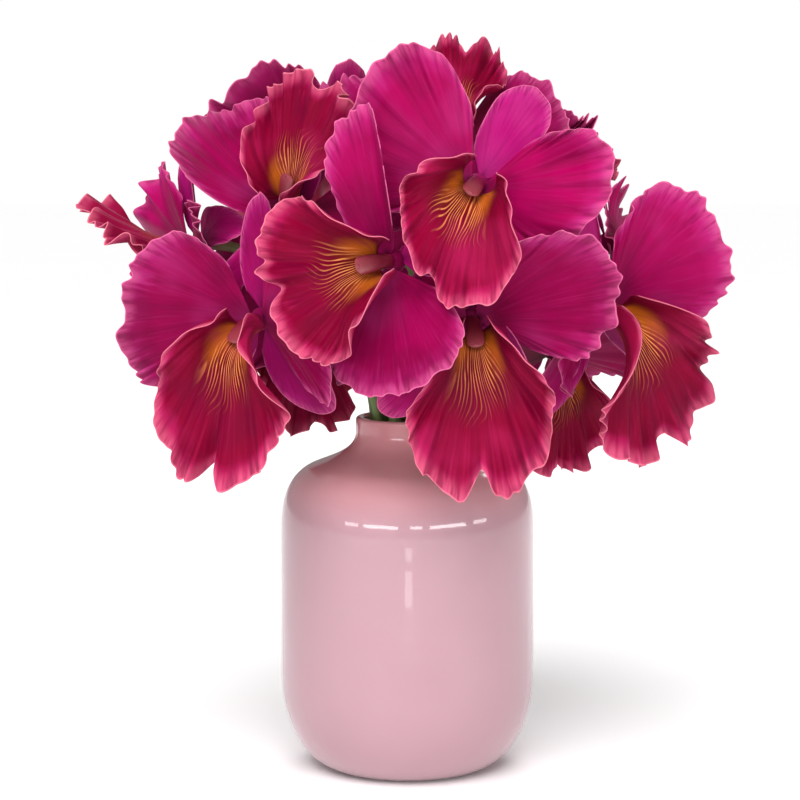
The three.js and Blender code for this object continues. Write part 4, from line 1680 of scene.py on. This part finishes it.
@dataclass
class Bouquet:
    """All blooms and stems, parted where blades would cross, in millimetres."""

    plans: Sequence[BloomPlan]
    inner_blooms: tuple[str, ...] = ("high", "top_left", "crown", "back_top")
    inner_radius: float = 6.0
    outer_radius: float = 16.5
    clearing_rounds: int = 4
    near_blade: float = 5.0
    near_stem: float = 6.0
    box_margin: float = 4.0
    middle_share: float = 0.6
    root_share: float = 0.4
    least_spread: float = 6.0
    root_distance: float = 12.0
    normal_turns: int = 12
    normal_turn: float = 0.25
    root_margin: float = 5.0
    stem_gaps: float = 1.3

    def __post_init__(self) -> None:
        """Builds the blooms, routes the stems and parts the blades."""
        self.blooms = [Bloom(i + 1, plan) for i, plan in enumerate(self.plans)]
        self.stems = self.route_stems()
        self.part_blades()

    def route_stems(self) -> list[Stem]:
        """Leads the stems through the neck in two rings, each at the turn nearest to its bloom.

        Returns:
            The stems in the order of the blooms.
        """
        stems: list[Stem] = []
        for inner, radius in ((True, self.inner_radius), (False, self.outer_radius)):
            group = [
                (math.atan2(bloom.middle[1], bloom.middle[0]), bloom)
                for bloom in self.blooms if (bloom.plan.name in self.inner_blooms) == inner
            ]
            group.sort(key=lambda entry: entry[0])
            pitch = 2.0 * math.pi / len(group)
            lags = [turn - i * pitch for i, (turn, _bloom) in enumerate(group)]
            first = math.atan2(sum(map(math.sin, lags)), sum(map(math.cos, lags)))
            stems += [
                Stem(bloom, radius, first + i * pitch) for i, (_turn, bloom) in enumerate(group)
            ]
        return sorted(stems, key=lambda stem: stem.bloom.number)

    def part_blades(self) -> None:
        """Bends crossing blades of different blooms apart, and blades off the stems."""
        blades = [blade for bloom in self.blooms for blade in bloom.blades]
        nets = [blade.samples() for blade in blades]
        rods = [(stem.bloom.plan.name, stem.samples()) for stem in self.stems]
        for _ in range(self.clearing_rounds):
            for i, blade in enumerate(blades):
                for j in range(i + 1, len(blades)):
                    other = blades[j]
                    if blade.bloom != other.bloom and self.near(nets[i], nets[j], self.near_blade):
                        nets[i], nets[j] = self.part(blade, other, nets[i], nets[j])
                for name, rod in rods:
                    if blade.bloom != name and self.near(nets[i], rod, self.near_stem):
                        nets[i] = self.part_from_rod(blade, nets[i], rod)

    def near(self, a: np.ndarray, b: np.ndarray, reach: float) -> bool:
        """Whether two nets of points come within reach of each other.

        Args:
            a: the first net.
            b: the second net.
            reach: the distance that counts as near.

        Returns:
            True where they do.
        """
        margin = self.box_margin
        if np.any(a.max(axis=0) + margin < b.min(axis=0)):
            return False
        if np.any(b.max(axis=0) < a.min(axis=0) - margin):
            return False
        gaps = ((a[:, None] - b[None]) ** 2).sum(axis=-1)
        return bool(gaps.min() <= reach * reach)

    def parting_normal(
        self, a: np.ndarray, b: np.ndarray, root_a: np.ndarray, root_b: np.ndarray
    ) -> np.ndarray:
        """The direction in which two nets part most easily, with each root on its own side.

        Args:
            a: the first net.
            b: the second net.
            root_a: the first root.
            root_b: the second root.

        Returns:
            The direction, from a to b.
        """
        start = a.mean(axis=0) * self.middle_share + root_a * self.root_share
        end = b.mean(axis=0) * self.middle_share + root_b * self.root_share
        spread = np.cov(a.T) + np.cov(b.T) + np.eye(3) * self.least_spread
        normal = unit(np.linalg.solve(spread, end - start))
        away = root_b - root_a
        direction = unit(away)
        for _ in range(self.normal_turns):
            if away @ normal > self.root_distance:
                break
            normal = unit(normal + self.normal_turn * direction)
        return normal

    def part(
        self, first: Blade, second: Blade, a: np.ndarray, b: np.ndarray
    ) -> tuple[np.ndarray, np.ndarray]:
        """Bends two blades to either side of one plane.

        Args:
            first: the first blade.
            second: the second blade.
            a: the first blade's net.
            b: the second blade's net.

        Returns:
            Both nets as they lie now.
        """
        root_a, root_b = first.root(), second.root()
        normal = self.parting_normal(a, b, root_a, root_b)
        reach_a = float((a @ normal).max())
        reach_b = float((b @ normal).min())
        if reach_a + BLADE_GAP <= reach_b:
            return a, b
        low = float(root_a @ normal) + self.root_margin
        high = float(root_b @ normal) - self.root_margin
        stiff_a, stiff_b = first.shape.stiff, second.shape.stiff
        wish = (stiff_a * reach_a + stiff_b * reach_b) / (stiff_a + stiff_b)
        plane = min(max(wish, low), high) if high > low else (low + high) / 2.0
        a = first.fold_behind(a, normal, plane - BLADE_GAP / 2.0)
        b = second.fold_behind(b, -normal, -plane - BLADE_GAP / 2.0)
        return a, b

    def part_from_rod(self, blade: Blade, net: np.ndarray, rod: np.ndarray) -> np.ndarray:
        """Bends a blade off a stem, which stays where it is.

        Args:
            blade: the blade.
            net: its net.
            rod: the stem's points.

        Returns:
            The net as it lies now.
        """
        normal = self.parting_normal(net, rod, blade.root(), rod.mean(axis=0))
        reach = float((rod @ normal).min())
        if float((net @ normal).max()) + BLADE_GAP <= reach:
            return net
        return blade.fold_behind(net, normal, reach - self.stem_gaps * BLADE_GAP)

    def dress(self, finishes: Finishes) -> None:
        """Makes all pieces.

        Args:
            finishes: the materials.
        """
        for bloom in self.blooms:
            bloom.dress(finishes)
        for stem in self.stems:
            node = f"{stem.bloom.node}_stem"
            declare(stem.mesh().to_object(f"{node}_fine", finishes.stem), node)


@dataclass
class Vase:
    """The bottle vase, in millimetres.

    The pulls say how far the control points of the wall's curves lie from their ends.
    """

    height: float = 177.0
    body_radius: float = 63.8
    foot_radius: float = 36.0
    neck_radius: float = 25.8
    wall: float = 4.0
    floor: float = 6.0
    corner_top: float = 46.0
    shoulder_start: float = 121.0
    shoulder_radius: float = 46.0
    shoulder_height: float = 153.6
    neck_start: float = 170.0
    rim_round: float = 1.6
    foot_pull: float = 16.0
    corner_pull: float = 22.0
    side_pull: float = 18.0
    shoulder_pull: tuple[float, float] = (6.0, 4.0)
    throat_pull: tuple[float, float] = (10.0, 4.0)
    neck_pull: float = 7.0
    sides: int = 144
    curve_steps: int = 16
    rim_steps: int = 5

    def wall_line(self, inset: float, floor: float) -> np.ndarray:
        """One side of the wall from foot to rim.

        Args:
            inset: how far it is drawn in from the outside.
            floor: its height at the foot.

        Returns:
            Radius and height of each point.
        """
        body = self.body_radius - inset
        neck = self.neck_radius - inset
        crest, crest_height = self.shoulder_radius - inset / 2.0, self.shoulder_height - inset
        corner = (
            (self.foot_radius, floor), (self.foot_radius + self.foot_pull, floor),
            (body, floor + self.corner_pull), (body, self.corner_top),
        )
        shoulder = (
            (body, self.shoulder_start), (body, self.shoulder_start + self.side_pull - inset),
            (body - self.shoulder_pull[0], crest_height - self.shoulder_pull[1]),
            (crest, crest_height),
        )
        throat = (
            (crest, crest_height),
            (crest - self.throat_pull[0], crest_height + self.throat_pull[1]),
            (neck, crest_height + self.neck_pull), (neck, self.neck_start),
        )
        foot_curve, side_curve, neck_curve = [
            Stem.bezier(np.array(curve), self.curve_steps) for curve in (corner, shoulder, throat)
        ]
        top = np.array([[neck, self.height - self.rim_round]])
        return np.concatenate([foot_curve, side_curve, neck_curve[1:], top])

    def rim_line(self) -> np.ndarray:
        """The round rim from outside to inside.

        Returns:
            Radius and height of each point.
        """
        outer = self.neck_radius - self.rim_round
        inner = self.neck_radius - self.wall + self.rim_round
        turn = np.linspace(0.0, math.pi / 2.0, self.rim_steps + 1)
        height = self.height - self.rim_round + self.rim_round * np.sin(turn)
        rise = np.stack([outer + self.rim_round * np.cos(turn), height], axis=-1)
        fall = np.stack([inner - self.rim_round * np.cos(turn), height], axis=-1)
        return np.concatenate([rise[1:], fall[::-1][:-1]])

    def mesh(self) -> MeshData:
        """The vase as one closed body.

        Returns:
            The mesh.
        """
        outside = self.wall_line(0.0, 0.0)
        inside = self.wall_line(self.wall, self.floor)[::-1]
        profile = np.concatenate([outside, self.rim_line(), inside])
        turn = ring_turns(self.sides)
        rings = np.stack([
            np.stack([r * np.cos(turn), r * np.sin(turn), np.full(self.sides, z)], axis=-1)
            for r, z in profile
        ])
        return loft(rings, profile[:, 1] / self.height)

    def dress(self, finishes: Finishes) -> None:
        """Makes the vase's piece and gives the water its finish.

        Args:
            finishes: the materials.
        """
        declare(self.mesh().to_object("vase_glass", finishes.glass), "vase")
        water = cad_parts["water"]
        water.data.materials.clear()
        water.data.materials.append(finishes.water)
        LOG.info("water keeps its solid")


def hang(name: str, lamp: bpy.types.Light, way: Vector) -> bpy.types.Object:
    """Puts a lamp in the scene.

    Args:
        name: its name.
        lamp: the lamp.
        way: the direction that it shines from.

    Returns:
        The lamp's object.
    """
    holder = bpy.data.objects.new(name, lamp)
    bpy.context.scene.collection.objects.link(holder)
    holder.rotation_euler = way.to_track_quat("Z", "Y").to_euler()
    return holder


@dataclass(frozen=True)
class SoftLight:
    """A soft lamp that looks at the vase, in metres and degrees."""

    name: str
    azimuth: float
    elevation: float
    distance: float
    width: float
    height: float
    radiance: float
    aim: tuple[float, float, float] = (0.0, 0.0, 0.125)

    def build(self) -> None:
        """Makes the lamp."""
        lamp = bpy.data.lights.new(self.name, "AREA")
        lamp.shape = "RECTANGLE"
        lamp.size = self.width
        lamp.size_y = self.height
        lamp.energy = self.radiance * math.pi * self.width * self.height
        turn, tilt = math.radians(self.azimuth), math.radians(self.elevation)
        level = math.cos(tilt)
        way = Vector((math.sin(turn) * level, -math.cos(turn) * level, math.sin(tilt)))
        holder = hang(self.name, lamp, way)
        holder.location = Vector(self.aim) + way * self.distance
        holder.visible_camera = False


@dataclass
class Studio:
    """Floor, lamps, backdrop and camera, in metres and degrees, with the lens in millimetres."""

    elevation: float = 7.0
    distance: float = 1.3
    focal_length: float = 117.0
    sensor_width: float = 36.0
    target: tuple[float, float, float] = (-0.00375, 0.0, 0.185)
    floor_size: float = 12.0
    floor_cells: int = 4
    floor_drop: float = 0.0002
    shown: Colour = (1.0, 1.0, 1.0)
    ambient_colour: Colour = (1.0, 0.98, 0.97)
    ambient: float = 0.30
    sky_strength: float = 3.25
    sky_softness: float = 48.0
    sky_way: tuple[float, float, float] = (-0.15, -0.78, 1.0)
    lamps: tuple[SoftLight, ...] = (
        SoftLight("window_far_left", -51.0, 8.5, 2.0, 0.45, 0.13, 11.0),
        SoftLight("window_left", -24.0, 8.5, 2.0, 1.10, 0.13, 16.0),
        SoftLight("window_middle", 7.5, 8.5, 2.0, 0.36, 0.13, 14.0),
        SoftLight("window_right", 36.5, 8.5, 2.0, 1.20, 0.13, 16.0),
        SoftLight("window_far_right", 68.0, 8.5, 2.0, 0.50, 0.13, 11.0),
        SoftLight("low_pane", 0.8, 0.0, 0.45, 0.047, 0.028, 4.8, (0.0, 0.0, 0.028)),
        SoftLight("low_pane_above", 0.8, 0.0, 0.45, 0.047, 0.012, 4.8, (0.0, 0.0, 0.056)),
        SoftLight("back_softbox", 170.0, 40.0, 1.6, 1.0, 0.6, 4.0),
    )

    def sky(self) -> None:
        """Makes a broad soft light from above."""
        lamp = bpy.data.lights.new("soft_sky", "SUN")
        lamp.energy = self.sky_strength
        lamp.angle = math.radians(self.sky_softness)
        hang("soft_sky", lamp, Vector(self.sky_way)).visible_glossy = False

    def floor(self) -> None:
        """Makes the floor."""
        bpy.ops.mesh.primitive_grid_add(
            x_subdivisions=self.floor_cells, y_subdivisions=self.floor_cells,
            size=self.floor_size, location=(0.0, 0.0, -self.floor_drop),
        )
        floor = bpy.context.object
        floor.name = "studio_floor"
        floor.data.materials.append(FloorFinish().build())

    def backdrop(self) -> None:
        """Makes a white surround that lights the bouquet less than it shows."""
        world = bpy.data.worlds.new("white_surround")
        world.use_nodes = True
        bpy.context.scene.world = world
        tree = world.node_tree
        shown = tree.nodes["Background"]
        lit = tree.nodes.new("ShaderNodeBackground")
        for node, colour, strength in (
            (shown, self.shown, 1.0), (lit, self.ambient_colour, self.ambient),
        ):
            node.inputs[0].default_value = (*colour, 1.0)
            node.inputs[1].default_value = strength
        mix = tree.nodes.new("ShaderNodeMixShader")
        path = tree.nodes.new("ShaderNodeLightPath")
        tree.links.new(path.outputs["Is Camera Ray"], mix.inputs[0])
        tree.links.new(lit.outputs[0], mix.inputs[1])
        tree.links.new(shown.outputs[0], mix.inputs[2])
        tree.links.new(mix.outputs[0], tree.nodes["World Output"].inputs[0])

    def camera(self) -> None:
        """Places the camera at the photographed view."""
        lens = bpy.data.cameras.new("camera")
        lens.lens = self.focal_length
        lens.sensor_width = self.sensor_width
        holder = bpy.data.objects.new("camera", lens)
        bpy.context.scene.collection.objects.link(holder)
        tilt = math.radians(self.elevation)
        target = Vector(self.target)
        away = Vector((0.0, -math.cos(tilt), math.sin(tilt)))
        holder.location = target + away * self.distance
        holder.rotation_euler = (target - holder.location).to_track_quat("-Z", "Y").to_euler()
        bpy.context.scene.camera = holder

    def build(self) -> None:
        """Makes the whole studio."""
        self.floor()
        self.backdrop()
        self.sky()
        for lamp in self.lamps:
            lamp.build()
        self.camera()
        bpy.context.scene.view_settings.view_transform = "Standard"
        LOG.info("studio is set")


def write_sizes() -> None:
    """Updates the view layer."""
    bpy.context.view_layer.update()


def main() -> None:
    """Builds the vase, the bouquet and the studio."""
    logging.basicConfig(level=logging.INFO, format="%(name)s: %(message)s")
    finishes = Finishes()
    Vase().dress(finishes)
    Bouquet(PLANS).dress(finishes)
    Studio().build()
    write_sizes()


if __name__ == "__main__":
    main()
